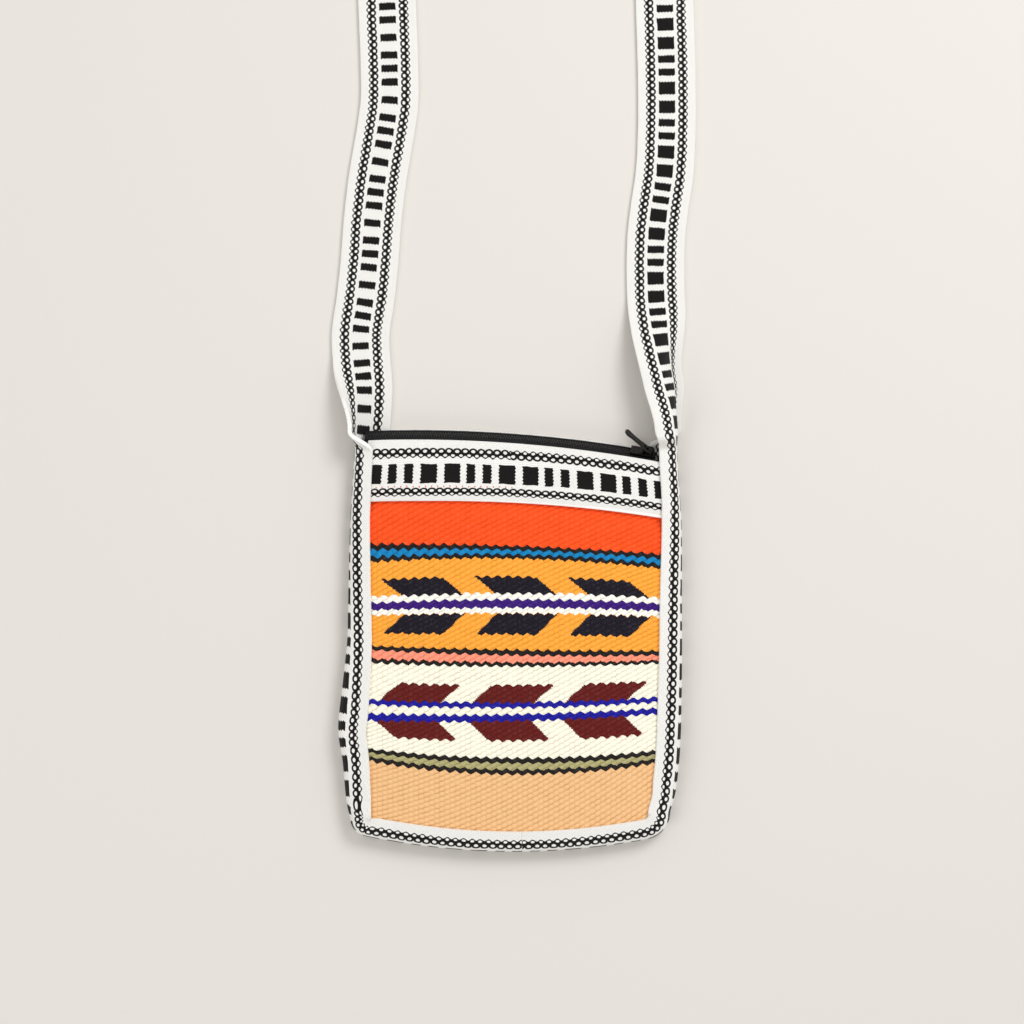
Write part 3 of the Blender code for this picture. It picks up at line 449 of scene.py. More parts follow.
def fade(tree, value, start, end):
    """0 up to start, 1 from end on, smooth between; start may be the larger."""
    made = node(tree, "ShaderNodeMapRange", interpolation_type="SMOOTHSTEP")
    if start < end:
        limits = (start, end, 0.0, 1.0)
    else:
        limits = (end, start, 1.0, 0.0)
    feed(tree, made.inputs[0], value)
    for index, limit in enumerate(limits):
        made.inputs[index + 1].default_value = limit
    return made.outputs[0]


def mix_colour(tree, share, first, second):
    """Colour between two colours or colour sockets."""
    made = node(tree, "ShaderNodeMix", data_type="RGBA")
    feed(tree, made.inputs[0], share)
    feed(tree, made.inputs[6], first)
    feed(tree, made.inputs[7], second)
    return made.outputs[2]


def paint(red, green, blue):
    """Linear colour of a screen colour of 0 to 255."""
    return (*[(value / 255) ** 2.2 for value in (red, green, blue)], 1.0)


WANDER = 0.0008
WANDER_SCALE = 220.0


def cloth_point(tree):
    """Lengths along and across the flat cloth, in metres, with a hand weaver's small wander."""
    chart = node(tree, "ShaderNodeUVMap", uv_map="cloth")
    parts = node(tree, "ShaderNodeSeparateXYZ")
    tree.links.new(chart.outputs[0], parts.inputs[0])
    wander = node(tree, "ShaderNodeTexNoise")
    wander.inputs["Scale"].default_value = WANDER_SCALE
    wander.inputs["Detail"].default_value = 1.0
    tree.links.new(chart.outputs[0], wander.inputs["Vector"])
    shift = node(tree, "ShaderNodeSeparateXYZ")
    tree.links.new(wander.outputs["Color"], shift.inputs[0])
    moved = []
    for axis in (0, 1):
        offset = calc(tree, "MULTIPLY_ADD", shift.outputs[axis], WANDER, -WANDER / 2)
        moved.append(calc(tree, "ADD", parts.outputs[axis], offset))
    return chart.outputs[0], moved[0], moved[1]


# Across the band, from its middle: the blocks, then rings, then beads inside a zigzag line
BLOCK_HALF = 0.0049
RING_CENTRE = 0.00855
RING_HALF = 0.00185
RING_PITCH = 0.00375
RING_SQUEEZE = 1.85
RING_RIM = (1.08, 0.94)
RING_HOLE = (0.40, 0.52)
ZIGZAG_CENTRE = 0.01190
ZIGZAG_SWING = 0.00055
ZIGZAG_EDGE = 0.00012
BEAD_CENTRE = 0.01095
BEAD_HALF = 0.00074
BEAD_HALF_LENGTH = 0.00088
BEAD_RIM = (0.85, 1.08)


def spot_size(tree, cell, side):
    """Distance from a spot's middle in its own half sizes, for a place along and beside it."""
    place = node(tree, "ShaderNodeCombineXYZ")
    feed(tree, place.inputs[0], cell)
    feed(tree, place.inputs[1], side)
    size = node(tree, "ShaderNodeVectorMath", operation="LENGTH")
    tree.links.new(place.outputs[0], size.inputs[0])
    return size.outputs["Value"]


def chain_mask(tree, along, away):
    """Black of one chain: rings, then beads between them and a zigzag edge."""
    turn = calc(tree, "DIVIDE", along, RING_PITCH)
    cell = calc(tree, "SUBTRACT", calc(tree, "FRACT", turn), 0.5)
    between = calc(tree, "SUBTRACT", calc(tree, "FRACT", calc(tree, "ADD", turn, 0.5)), 0.5)
    side = calc(tree, "DIVIDE", calc(tree, "SUBTRACT", away, RING_CENTRE), RING_HALF)
    ring = spot_size(tree, calc(tree, "MULTIPLY", cell, RING_SQUEEZE), side)
    bead_side = calc(tree, "DIVIDE", calc(tree, "SUBTRACT", away, BEAD_CENTRE), BEAD_HALF)
    bead_turn = calc(tree, "MULTIPLY", between, RING_PITCH / BEAD_HALF_LENGTH)
    bead = spot_size(tree, bead_turn, bead_side)
    wave = calc(tree, "COSINE", calc(tree, "MULTIPLY", turn, 2 * math.pi))
    line = calc(tree, "MULTIPLY_ADD", wave, ZIGZAG_SWING, ZIGZAG_CENTRE)
    past = calc(tree, "SUBTRACT", away, line)
    lattice = calc(tree, "MULTIPLY", fade(tree, past, ZIGZAG_EDGE, -ZIGZAG_EDGE),
                   calc(tree, "GREATER_THAN", away, RING_CENTRE))
    black = calc(tree, "MAXIMUM", fade(tree, ring, *RING_RIM), lattice)
    holes = calc(tree, "MULTIPLY", fade(tree, ring, *RING_HOLE), fade(tree, bead, *BEAD_RIM))
    return calc(tree, "MULTIPLY", black, holes)


# The blocks' ends are stepped from one warp thread to the next
BLOCK_THREAD = 0.0009
BLOCK_STEP = 0.75
BLOCK_SOFTNESS = 0.00015


def block_mask(tree, along, away, start, period, blocks):
    """Black of the blocks in the band's middle, given as (from, to) within one period."""
    ticks = calc(tree, "PINGPONG", away, BLOCK_THREAD)
    ragged = calc(tree, "MULTIPLY_ADD", ticks, BLOCK_STEP, along)
    turn = calc(tree, "FRACT", calc(tree, "DIVIDE", calc(tree, "SUBTRACT", ragged, start), period))
    ramp = node(tree, "ShaderNodeValToRGB")
    ramp.color_ramp.interpolation = "CONSTANT"
    stops = ramp.color_ramp.elements
    stops[0].position = 0.0
    stops[0].color = (0, 0, 0, 1)
    stops[1].position = 1.0
    stops[1].color = (0, 0, 0, 1)
    for low, high in blocks:
        for position, level in ((low / period, 1.0), (high / period, 0.0)):
            stop = stops.new(position) if position > 0 else stops[0]
            stop.color = (level, level, level, 1)
    feed(tree, ramp.inputs[0], turn)
    within = fade(tree, away, BLOCK_HALF + BLOCK_SOFTNESS, BLOCK_HALF - BLOCK_SOFTNESS)
    return calc(tree, "MULTIPLY", ramp.outputs[0], within)


def wool_look(name):
    """New material and its tree with an empty woollen shader."""
    look = bpy.data.materials.new(name)
    look.use_nodes = True
    shader = look.node_tree.nodes["Principled BSDF"]
    shader.inputs["Roughness"].default_value = 0.92
    shader.inputs["Specular IOR Level"].default_value = 0.25
    shader.inputs["Sheen Weight"].default_value = 0.08
    shader.inputs["Sheen Roughness"].default_value = 0.45
    return look, look.node_tree, shader


CORD_PITCH = 0.00120
BEAT_PITCH = 0.00145
BEAT_DEPTH = 0.45


def band_weave_height(tree, along, across):
    """Relief of the band's fine warp cords, each dented by the weft."""
    cord = calc(tree, "SINE", calc(tree, "MULTIPLY", across, 2 * math.pi / CORD_PITCH))
    stagger = calc(tree, "MULTIPLY", calc(tree, "SIGN", cord), math.pi / 2)
    turn = calc(tree, "MULTIPLY_ADD", along, 2 * math.pi / BEAT_PITCH, stagger)
    return calc(tree, "MULTIPLY_ADD", calc(tree, "SINE", turn), BEAT_DEPTH,
                calc(tree, "ABSOLUTE", cord))


def fibre_height(tree, chart, scale):
    """Fine fuzz of the wool."""
    fuzz = node(tree, "ShaderNodeTexNoise")
    fuzz.inputs["Scale"].default_value = scale
    fuzz.inputs["Detail"].default_value = 3.0
    tree.links.new(chart, fuzz.inputs["Vector"])
    return fuzz.outputs[0]


WHITE_WOOL = paint(251, 249, 245)
# The white wool's colour in the weave's hollows: painted shade
WHITE_WOOL_PAINTED_SHADE = paint(222, 221, 217)
WEFT_PITCH = 0.0022
WEFT_GREY = paint(150, 152, 156)
BLACK_WOOL = paint(21, 17, 17)
BLACK_WOOL_WORN = paint(50, 45, 44)
BAND_FUZZ_SCALE = 2600.0
# How far painted shade darkens the white wool in the weave's hollows
WEAVE_PAINTED_SHADE_SHOWN = 0.55
WEFT_SHOWN = 0.30
WORN_SHOWN = 0.6


def band_shading(look, tree, shader, chart, along, across, black):
    """Puts black and white wool on a band, with weave, fuzz and painted shade in its hollows."""
    weave = band_weave_height(tree, along, across)
    fuzz = fibre_height(tree, chart, BAND_FUZZ_SCALE)
    # Painted shade: the white wool darkens where the weave lies low
    weave_painted_shade = fade(tree, weave, 0.9, -0.1)
    white = mix_colour(tree, calc(tree, "MULTIPLY", weave_painted_shade, WEAVE_PAINTED_SHADE_SHOWN), WHITE_WOOL,
                       WHITE_WOOL_PAINTED_SHADE)
    picks = calc(tree, "COSINE", calc(tree, "MULTIPLY", along, 2 * math.pi / WEFT_PITCH))
    cords = calc(tree, "COSINE", calc(tree, "MULTIPLY", across, 2 * math.pi / WEFT_PITCH))
    dots = fade(tree, calc(tree, "MULTIPLY", picks, cords), 0.70, 1.0)
    white = mix_colour(tree, calc(tree, "MULTIPLY", dots, WEFT_SHOWN), white, WEFT_GREY)
    worn = fade(tree, fuzz, 0.50, 0.72)
    dark = mix_colour(tree, calc(tree, "MULTIPLY", worn, WORN_SHOWN), BLACK_WOOL,
                      BLACK_WOOL_WORN)
    feed(tree, shader.inputs["Base Color"], mix_colour(tree, black, white, dark))
    height = calc(tree, "MULTIPLY_ADD", fuzz, 0.5, calc(tree, "MULTIPLY_ADD", black, 0.35, weave))
    bump = node(tree, "ShaderNodeBump")
    bump.inputs["Strength"].default_value = 0.55
    bump.inputs["Distance"].default_value = 0.0004
    feed(tree, bump.inputs["Height"], height)
    tree.links.new(bump.outputs[0], shader.inputs["Normal"])
    return look


def banded_look(name, start, period, blocks):
    """White wool with a chain near each edge and black blocks between them."""
    look, tree, shader = wool_look(name)
    chart, along, across = cloth_point(tree)
    away = calc(tree, "ABSOLUTE", across)
    black = calc(tree, "MAXIMUM", chain_mask(tree, along, away),
                 block_mask(tree, along, away, start, period, blocks))
    return band_shading(look, tree, shader, chart, along, across, black)


# The outer face's blocks from one repeat's start, and the black that shows on the inner face
OUTER_PERIOD = 0.0376
OUTER_START = 0.0159
OUTER_BLOCKS = ((0.0, 0.0074), (0.0111, 0.0185), (0.0220, 0.0264), (0.02975, 0.03405))
INNER_PERIOD = 0.0367
INNER_START = 0.01735
INNER_BLOCKS = ((0.0, 0.0043), (0.0079, 0.0122), (0.0158, 0.0201), (0.0262, 0.0305))

band_outer = banded_look("banded_wool_outer", OUTER_START, OUTER_PERIOD, OUTER_BLOCKS)
band_inner = banded_look("banded_wool_inner", INNER_START, INNER_PERIOD, INNER_BLOCKS)

BAND_CELL_ALONG = 0.00125
BAND_CELLS_ACROSS = 27
band_columns = int(PATH_LENGTH / BAND_CELL_ALONG)
band_acrosses = [-FOLD_LENGTH + BAND_WIDTH * row / BAND_CELLS_ACROSS
                 for row in range(BAND_CELLS_ACROSS + 1)]
# Round the body the band is pulled long: its pattern advances by this share of its length
GUSSET_DRAWN = 0.76
GUSSET_DRAWN_EASING = 0.03
# At the tight left corner the front flap is pleated: its edge runs square into the corner
PLEAT_REACH = CORNER_RADIUS_LEFT * math.pi / 2
PLEAT_START = CORNER_RADIUS_LEFT * math.pi / 4 + FOLD_LENGTH - CORNER_RADIUS_LEFT


def band_line(place):
    """The band's middle surface across its width at a length along it."""
    crease, heading = route_at(place)
    inward = Vector((heading.y, -heading.x))
    slid = [across - slide_at(place) for across in band_acrosses]
    return [(crease, offset * inward, height) for offset, height in section_at(place, slid)]


def pleat_target(away):
    """Where the left corner's flap edge lies, for a length from the corner's middle."""
    ends = []
    for place in (LEFT_CORNER - PLEAT_REACH, LEFT_CORNER + PLEAT_REACH):
        crease, reach, _ = band_line(place)[0]
        ends.append(crease + reach)
    middle = Vector((ends[1].x, ends[0].y))
    share = max(abs(away) - PLEAT_START, 0.0) / (PLEAT_REACH - PLEAT_START)
    return middle + (ends[away > 0] - middle) * share


band_lines = []
band_drawn = [0.0]
for column in range(band_columns + 1):
    place = min(PATH_LENGTH * column / band_columns, PATH_LENGTH - 1e-6)
    on_strap = min(ease((place - LEFT_TOP) / GUSSET_DRAWN_EASING),
                   ease((RIGHT_TOP - place) / GUSSET_DRAWN_EASING))
    drawn = GUSSET_DRAWN + (1 - GUSSET_DRAWN) * on_strap
    band_drawn.append(band_drawn[-1] + drawn * PATH_LENGTH / band_columns)
    line = band_line(place)
    away = place - LEFT_CORNER
    if abs(away) < PLEAT_REACH:
        target = pleat_target(away)
        whole = line[0][1].length
        line = [(crease, (target - crease) * (reach.length / whole), height)
                if across < 0 and reach.dot(line[0][1]) > 0 else (crease, reach, height)
                for (crease, reach, height), across in zip(line, band_acrosses)]
    band_lines.append([Vector((*(crease + reach), height)) for crease, reach, height in line])

band = cloth_object(
    "shoulder_band_wool", band_columns, BAND_CELLS_ACROSS,
    lambda column, row: band_lines[column][row],
    lambda column, row: (band_drawn[column], band_acrosses[row] - FOLD_SHIFT),
    [band_outer, band_inner], BAND_THICKNESS, soft_edge=BAND_SOFT_EDGE)
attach(band, "bag")
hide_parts("shoulder_band")


# Front panel: thick wool, woven in cross stripes with two rows of feather motifs. Its beaten-in
# weft stands up in slanted bumps. Its edges are sewn under the side band and the top band.
PANEL_THICKNESS = 0.0025
GAP = 0.0003
SIDE_SEAM_INSET = 0.0066
DOME_HEIGHT = 0.0078
TOP_BAND_START = 0.0030
TOP_BAND_HEIGHT = 0.0360
TOP_BAND_END = TOP_BAND_START + TOP_BAND_HEIGHT
TOP_BAND_LAP = 0.0060
TOP_BAND_RISE = 0.0045
TOP_BAND_TAPER = 0.0042
TOP_BAND_TAPER_FROM = -0.055
TOP_BAND_TAPER_POWER = 1.2
LAP_SLOPE_LENGTH = 0.0100
PANEL_COLUMNS = 195
PANEL_ROWS = 246
SIDE_SAMPLES_PAST_ZIP = 0.010
# The beaten-in weft, whose bumps show from just below the top band, and not in the side seams
BUMP_WIDTH = 0.0030
BUMP_HEIGHT = 0.0032
BUMP_RISE = 0.0007
BUMP_SLANT = 0.38
BUMP_FULLNESS = 0.7
BUMP_SIDE_DROP = 0.6
BUMPS_INTO_LAP = 0.001
BUMPS_FADE = 0.003
BUMPS_FADE_COLUMNS = 5
TAN_WOOL = paint(240, 190, 135)
DARK_BROWN_WOOL = paint(30, 24, 22)
OLIVE_WOOL = paint(175, 168, 118)
CREAM_WOOL = paint(252, 248, 228)
BLUE_WOOL = paint(22, 18, 150)
SALMON_WOOL = paint(255, 150, 122)
AMBER_WOOL = paint(255, 168, 60)
PALE_WOOL = paint(252, 250, 240)
VIOLET_WOOL = paint(58, 20, 118)
BRIGHT_BLUE_WOOL = paint(0, 128, 188)
ORANGE_WOOL = paint(255, 84, 26)
NIGHT_WOOL = paint(24, 18, 33)
MAROON_WOOL = paint(98, 22, 16)
# Places across the panel at which the stripes' heights in plan are given
STRIPE_SPANS = (-0.0675, 0.0036, 0.0835)
# Of each stripe, from the bottom: its upper edge's height on the cloth, that height in plan at
# the three places, and its wool
STRIPES = (
    (0.0000, -0.1029, -0.1113, -0.1078, None),
    (0.0346, -0.0719, -0.0767, -0.0704, TAN_WOOL),
    (0.0372, -0.0688, -0.0737, -0.0673, DARK_BROWN_WOOL),
    (0.0410, -0.0661, -0.0700, -0.0652, OLIVE_WOOL),
    (0.0442, -0.0636, -0.0671, -0.0630, DARK_BROWN_WOOL),
    (0.0663, -0.0453, -0.0449, -0.0411, CREAM_WOOL),
    (0.0701, -0.0414, -0.0411, -0.0379, BLUE_WOOL),
    (0.0739, -0.0364, -0.0373, -0.0343, CREAM_WOOL),
    (0.0776, -0.0329, -0.0336, -0.0310, BLUE_WOOL),
    (0.0979, -0.0121, -0.0133, -0.0117, CREAM_WOOL),
    (0.1006, -0.0092, -0.0106, -0.0095, DARK_BROWN_WOOL),
    (0.1044, -0.0044, -0.0068, -0.0068, SALMON_WOOL),
    (0.1078, -0.0018, -0.0034, -0.0042, DARK_BROWN_WOOL),
    (0.1293, 0.0172, 0.0181, 0.0158, AMBER_WOOL),
    (0.1328, 0.0206, 0.0216, 0.0198, PALE_WOOL),
    (0.1373, 0.0246, 0.0260, 0.0237, VIOLET_WOOL),
    (0.1414, 0.0287, 0.0302, 0.0275, PALE_WOOL),
    (0.1612, 0.0488, 0.0500, 0.0443, AMBER_WOOL),
    (0.1637, 0.0515, 0.0524, 0.0469, DARK_BROWN_WOOL),
    (0.1663, 0.0556, 0.0551, 0.0503, BRIGHT_BLUE_WOOL),
    (0.1688, 0.0587, 0.0575, 0.0530, DARK_BROWN_WOOL),
    (0.1907, 0.0829, 0.0794, 0.0745, ORANGE_WOOL),
    (0.2050, 0.0972, 0.0937, 0.0888, ORANGE_WOOL))
# Feather motifs: lower and upper height, left end of the first at each, length, and wool
MOTIF_PERIOD = 0.0538
MOTIFS = (
    (0.1412, 0.1512, -0.0669, -0.0787, 0.0349, NIGHT_WOOL),
    (0.1172, 0.1296, -0.0770, -0.0651, 0.0350, NIGHT_WOOL),
    (0.0774, 0.0877, -0.0795, -0.0680, 0.0361, MAROON_WOOL),
    (0.0552, 0.0666, -0.0710, -0.0820, 0.0358, MAROON_WOOL))


def sides_of(inset, low, high):
    """Lengths along the crease of a patch's corners, between two distances below the zip."""
    ends = []
    for below in (low, high):
        if below is None:
            ends += [LEFT_CORNER, RIGHT_CORNER]
            continue
        for start, end in ((LEFT_CORNER, LEFT_TOP), (RIGHT_CORNER, RIGHT_TOP)):
            for _ in range(40):
                middle = (start + end) / 2
                if below_zip(*edge_point(middle, inset(middle))) > below:
                    start = middle
                else:
                    end = middle
            ends.append(middle)
    return ends


def edge_point(place, inset):
    """Point in plan at a distance in from the crease."""
    point, heading = route_at(place)
    return point + inset * Vector((heading.y, -heading.x))


def patch_grid(inset, low, high, columns, rows):
    """Points in plan of a Coons patch between the crease's sides: a list for each column.

    It lies between two distances below the zip; with no low it goes down to the bottom.
    """
    low_left, low_right, high_left, high_right = sides_of(inset, low, high)
    lefts, rights = [], []
    for row in range(rows + 1):
        for side, (start, end) in ((lefts, (low_left, high_left)),
                                   (rights, (low_right, high_right))):
            place = start + (end - start) * row / rows
            side.append(edge_point(place, inset(place)))
    arcs = []
    for below, first, last in ((low, lefts[0], rights[0]), (high, lefts[-1], rights[-1])):
        line = []
        for column in range(columns + 1):
            share = column / columns
            if below is None:
                place = low_left + (low_right - PATH_LENGTH - low_left) * share
                line.append(edge_point(place, inset(place)))
                continue
            angles = [math.atan2(end.x - ZIP_CENTRE.x, end.y - ZIP_CENTRE.y)
                      for end in (first, last)]
            angle = angles[0] + (angles[1] - angles[0]) * share
            line.append(ZIP_CENTRE + (ZIP_RADIUS - below) * Vector((math.sin(angle),
                                                                    math.cos(angle))))
        arcs.append(line)
    grid = []
    for column in range(columns + 1):
        share = column / columns
        line = []
        for row in range(rows + 1):
            up = row / rows
            straight = (1 - up) * arcs[0][column] + up * arcs[1][column]
            between = (1 - share) * lefts[row] + share * rights[row]
            corners = ((1 - share) * ((1 - up) * lefts[0] + up * lefts[-1])
                       + share * ((1 - up) * rights[0] + up * rights[-1]))
            line.append(straight + between - corners)
        grid.append(line)
    return grid


SIDE_SAMPLES = [
    PATH[(PLACES > LEFT_CORNER) & (PLACES < LEFT_TOP + SIDE_SAMPLES_PAST_ZIP)],
    PATH[(PLACES > RIGHT_TOP - SIDE_SAMPLES_PAST_ZIP) & (PLACES < RIGHT_CORNER)],
    PATH[(PLACES <= LEFT_CORNER) | (PLACES >= RIGHT_CORNER)],
]


def flap_edge_height(below):
    """Height of the front flap's middle surface where the panels' edges lie under it."""
    bend_half = fold_radius(below) * FOLD_ANGLE / 2
    roll = math.pi + FLAP_SLOPE + FOLD_ANGLE / 2
    rise = section_point(-bend_half, roll, FOLD_ANGLE, 0.0, bend_half)
    back = section_point(bend_half, roll, FOLD_ANGLE, 0.0, bend_half)
    crease = BAND_THICKNESS / 2 - back[1]
    return crease + rise[1] + (SIDE_SEAM_INSET - rise[0]) * math.tan(FLAP_SLOPE)


def face_height(x, y):
    """Height of the front panel's middle surface, domed between its edges."""
    below = below_zip(x, y)
    nearness = [(max(below + TOP_BAND_RISE, 1e-4)) ** -3]
    for samples in SIDE_SAMPLES:
        away = float(np.sqrt(((samples - (x, y)) ** 2).sum(axis=1).min()))
        nearness.append(max(away - SIDE_SEAM_INSET, 1e-4) ** -3)
    depth = sum(nearness) ** (-1 / 3)
    dome = DOME_HEIGHT * (1 - math.exp(-math.tan(FLAP_SLOPE) * depth / DOME_HEIGHT))
    layers = (BAND_THICKNESS / 2 + GAP + PANEL_THICKNESS / 2) / math.cos(FLAP_SLOPE)
    return flap_edge_height(below) - layers + dome


def band_taper(x):
    """How much narrower the front band is at a place across, towards the zip's closed end."""
    share = (x - TOP_BAND_TAPER_FROM) / (HALF_WIDTH - TOP_BAND_TAPER_FROM)
    return TOP_BAND_TAPER * max(share, 0.0) ** TOP_BAND_TAPER_POWER


def lap_drop(below):
    """How far the front panel steps down to pass under the front band."""
    full = (BAND_THICKNESS / 2 + GAP + PANEL_THICKNESS / 2) / math.cos(FLAP_SLOPE)
    return full * ease((TOP_BAND_END + LAP_SLOPE_LENGTH - below) / LAP_SLOPE_LENGTH)


def cloth_height(x, y):
    """Height on the cloth of a point of the panel, from the stripes' lines in plan."""
    a, b, c = STRIPE_SPANS
    shares = ((x - b) * (x - c) / ((a - b) * (a - c)), (x - a) * (x - c) / ((b - a) * (b - c)),
              (x - a) * (x - b) / ((c - a) * (c - b)))
    lines = [sum(share * line for share, line in zip(shares, stripe[1:4])) for stripe in STRIPES]
    if y < lines[0]:
        return (y - lines[0]) * (STRIPES[1][0] - STRIPES[0][0]) / (lines[1] - lines[0])
    return float(np.interp(y, lines, [stripe[0] for stripe in STRIPES]))


def bump_height(along, up):
    """Relief of the beaten-in weft, 0 to 1: columns of slanted bumps, staggered by half."""
    column = along / BUMP_WIDTH
    beside = column - math.floor(column) - 0.5
    half = 0.5 * (math.floor(column) % 2)
    turn = up / BUMP_HEIGHT + half - BUMP_SLANT * beside
    tall = (0.5 + 0.5 * math.cos(2 * math.pi * turn)) ** BUMP_FULLNESS
    return tall * (1 - (2 * abs(beside)) ** 3 * BUMP_SIDE_DROP)


def bump_relief(tree, along, up):
    """The same relief in a material."""
    column = calc(tree, "DIVIDE", along, BUMP_WIDTH)
    beside = calc(tree, "SUBTRACT", calc(tree, "FRACT", column), 0.5)
    odd = calc(tree, "GREATER_THAN", calc(tree, "FRACT", calc(tree, "MULTIPLY", column, 0.5)), 0.5)
    turn = calc(tree, "MULTIPLY_ADD", up, 1 / BUMP_HEIGHT, calc(tree, "MULTIPLY", odd, 0.5))
    turn = calc(tree, "MULTIPLY_ADD", beside, -BUMP_SLANT, turn)
    wave = calc(tree, "COSINE", calc(tree, "MULTIPLY", turn, 2 * math.pi))
    tall = calc(tree, "POWER", calc(tree, "MULTIPLY_ADD", wave, 0.5, 0.5), BUMP_FULLNESS)
    edge = calc(tree, "POWER", calc(tree, "MULTIPLY", calc(tree, "ABSOLUTE", beside), 2.0), 3.0)
    return calc(tree, "MULTIPLY", tall, calc(tree, "MULTIPLY_ADD", edge, -BUMP_SIDE_DROP, 1.0))


PANEL_FUZZ_SCALE = 2200.0
UNEVEN_SCALE = 190.0
# Painted shade: the tint multiplied in between the bumps, and how much of it
HOLLOW_PAINTED_SHADE_TINT = (0.60, 0.48, 0.42, 1.0)
HOLLOW_PAINTED_SHADE_SHOWN = 0.75
# Tint added both for a painted highlight on the bumps' crests and for the fuzz's lighter fibres
HIGHLIGHT_AND_FUZZ_TINT = (0.6, 0.6, 0.6, 1.0)
CREST_HIGHLIGHT_SHOWN = 0.02
FUZZ_SHOWN = 0.10


def panel_shading(look, tree, shader, chart, relief, colour):
    """Puts a colour on wool, with painted shade between bumps, painted highlight on them, fuzz and
    relief.
    """
    fuzz = fibre_height(tree, chart, PANEL_FUZZ_SCALE)
    uneven = fibre_height(tree, chart, UNEVEN_SCALE)
    # Painted shade between the bumps, stronger in some places than in others
    depth = calc(tree, "MULTIPLY", fade(tree, relief, 0.70, 0.0), fade(tree, uneven, 0.25, 0.75))
    dark = node(tree, "ShaderNodeMix", data_type="RGBA", blend_type="MULTIPLY")
    feed(tree, dark.inputs[6], colour)
    dark.inputs[7].default_value = HOLLOW_PAINTED_SHADE_TINT
    feed(tree, dark.inputs[0], calc(tree, "MULTIPLY", depth, HOLLOW_PAINTED_SHADE_SHOWN))
    # Painted highlight on the bumps' crests, added together with the fuzz's random lighter fibres
    light = node(tree, "ShaderNodeMix", data_type="RGBA", blend_type="ADD")
    crest_highlight = calc(tree, "MULTIPLY", fade(tree, relief, 0.6, 1.0), fade(tree, uneven, 0.60, 0.35))
    feed(tree, light.inputs[0],
         calc(tree, "MULTIPLY_ADD", fade(tree, fuzz, 0.50, 0.80), FUZZ_SHOWN,
              calc(tree, "MULTIPLY", crest_highlight, CREST_HIGHLIGHT_SHOWN)))
    tree.links.new(dark.outputs[2], light.inputs[6])
    light.inputs[7].default_value = HIGHLIGHT_AND_FUZZ_TINT
    tree.links.new(light.outputs[2], shader.inputs["Base Color"])
    bump = node(tree, "ShaderNodeBump")
    bump.inputs["Strength"].default_value = 0.6
    bump.inputs["Distance"].default_value = 0.0007
    rough = calc(tree, "MULTIPLY_ADD", uneven, 0.9, calc(tree, "MULTIPLY", fuzz, 0.35))
    feed(tree, bump.inputs["Height"], calc(tree, "ADD", rough, relief))
    tree.links.new(bump.outputs[0], shader.inputs["Normal"])
    return look


# The stripes' edges rise and fall once over two columns of bumps
STRIPE_ZIGZAG = 0.0016
STRIPE_ZIGZAG_RISE = 0.58
MOTIF_STEP = 0.0008


def stripes_look():
    """Cross stripes with zigzag edges and the two double rows of feather motifs."""
    look, tree, shader = wool_look("striped_wool_cloth")
    chart, along, up = cloth_point(tree)
    relief = bump_relief(tree, along, up)
    step = calc(tree, "FRACT", calc(tree, "DIVIDE", along, 2 * BUMP_WIDTH))
    rising = calc(tree, "DIVIDE", step, STRIPE_ZIGZAG_RISE)
    falling = calc(tree, "DIVIDE", calc(tree, "SUBTRACT", 1.0, step), 1 - STRIPE_ZIGZAG_RISE)
    zigzag = calc(tree, "MULTIPLY_ADD", calc(tree, "MINIMUM", rising, falling), STRIPE_ZIGZAG,
                  -STRIPE_ZIGZAG / 2)
    lookup = calc(tree, "ADD", up, zigzag)
    ramp = node(tree, "ShaderNodeValToRGB")
    ramp.color_ramp.interpolation = "CONSTANT"
    stops = ramp.color_ramp.elements
    top = STRIPES[-1][0]
    for index, (low, high) in enumerate(zip(STRIPES, STRIPES[1:])):
        if index == 0:
            stop = stops[0]
        elif index == 1:
            stop = stops[1]
            stop.position = low[0] / top
        else:
            stop = stops.new(low[0] / top)
        stop.color = high[4]
    feed(tree, ramp.inputs[0], calc(tree, "DIVIDE", lookup, top))
    colour = ramp.outputs[0]
    for low, high, low_start, high_start, length, wool in MOTIFS:
        lean = (high_start - low_start) / (high - low)
        start = low_start - lean * low
        shift = calc(tree, "MULTIPLY_ADD", calc(tree, "SNAP", up, MOTIF_STEP), -lean,
                     calc(tree, "SUBTRACT", along, start))
        turn = calc(tree, "FRACT", calc(tree, "DIVIDE", shift, MOTIF_PERIOD))
        beside = calc(tree, "LESS_THAN", turn, length / MOTIF_PERIOD)
        above = calc(tree, "GREATER_THAN", lookup, low)
        under = calc(tree, "LESS_THAN", lookup, high)
        inside = calc(tree, "MULTIPLY", beside, calc(tree, "MULTIPLY", above, under))
        colour = mix_colour(tree, inside, colour, wool)
    return panel_shading(look, tree, shader, chart, relief, colour)


def side_seam(place):
    """Distance in from the crease at which the front pieces end."""
    return SIDE_SEAM_INSET


# The cloth's own lengths across, from those in plan
CLOTH_SHRINKAGE = 0.985
CLOTH_SHIFT = -0.0018
panel_plan = patch_grid(side_seam, None, TOP_BAND_END - TOP_BAND_LAP, PANEL_COLUMNS, PANEL_ROWS)
for line in panel_plan:
    for row, point in enumerate(line):
        point.y += band_taper(point.x) * ease(row / PANEL_ROWS * 4 - 3)
panel_chart = [[(point.x * CLOTH_SHRINKAGE + CLOTH_SHIFT, cloth_height(point.x, point.y))
                for point in line] for line in panel_plan]


def panel_place(column, row):
    """Place of a vertex of the front panel."""
    x, y = panel_plan[column][row]
    below = below_zip(x, y) + band_taper(x)
    edge = min(column, PANEL_COLUMNS - column) / BUMPS_FADE_COLUMNS
    shown = ease(edge) * ease((below - TOP_BAND_END + BUMPS_INTO_LAP) / BUMPS_FADE)
    relief = BUMP_RISE * (bump_height(*panel_chart[column][row]) - 0.5) * shown
    return Vector((x, y, face_height(x, y) - lap_drop(below) + relief))


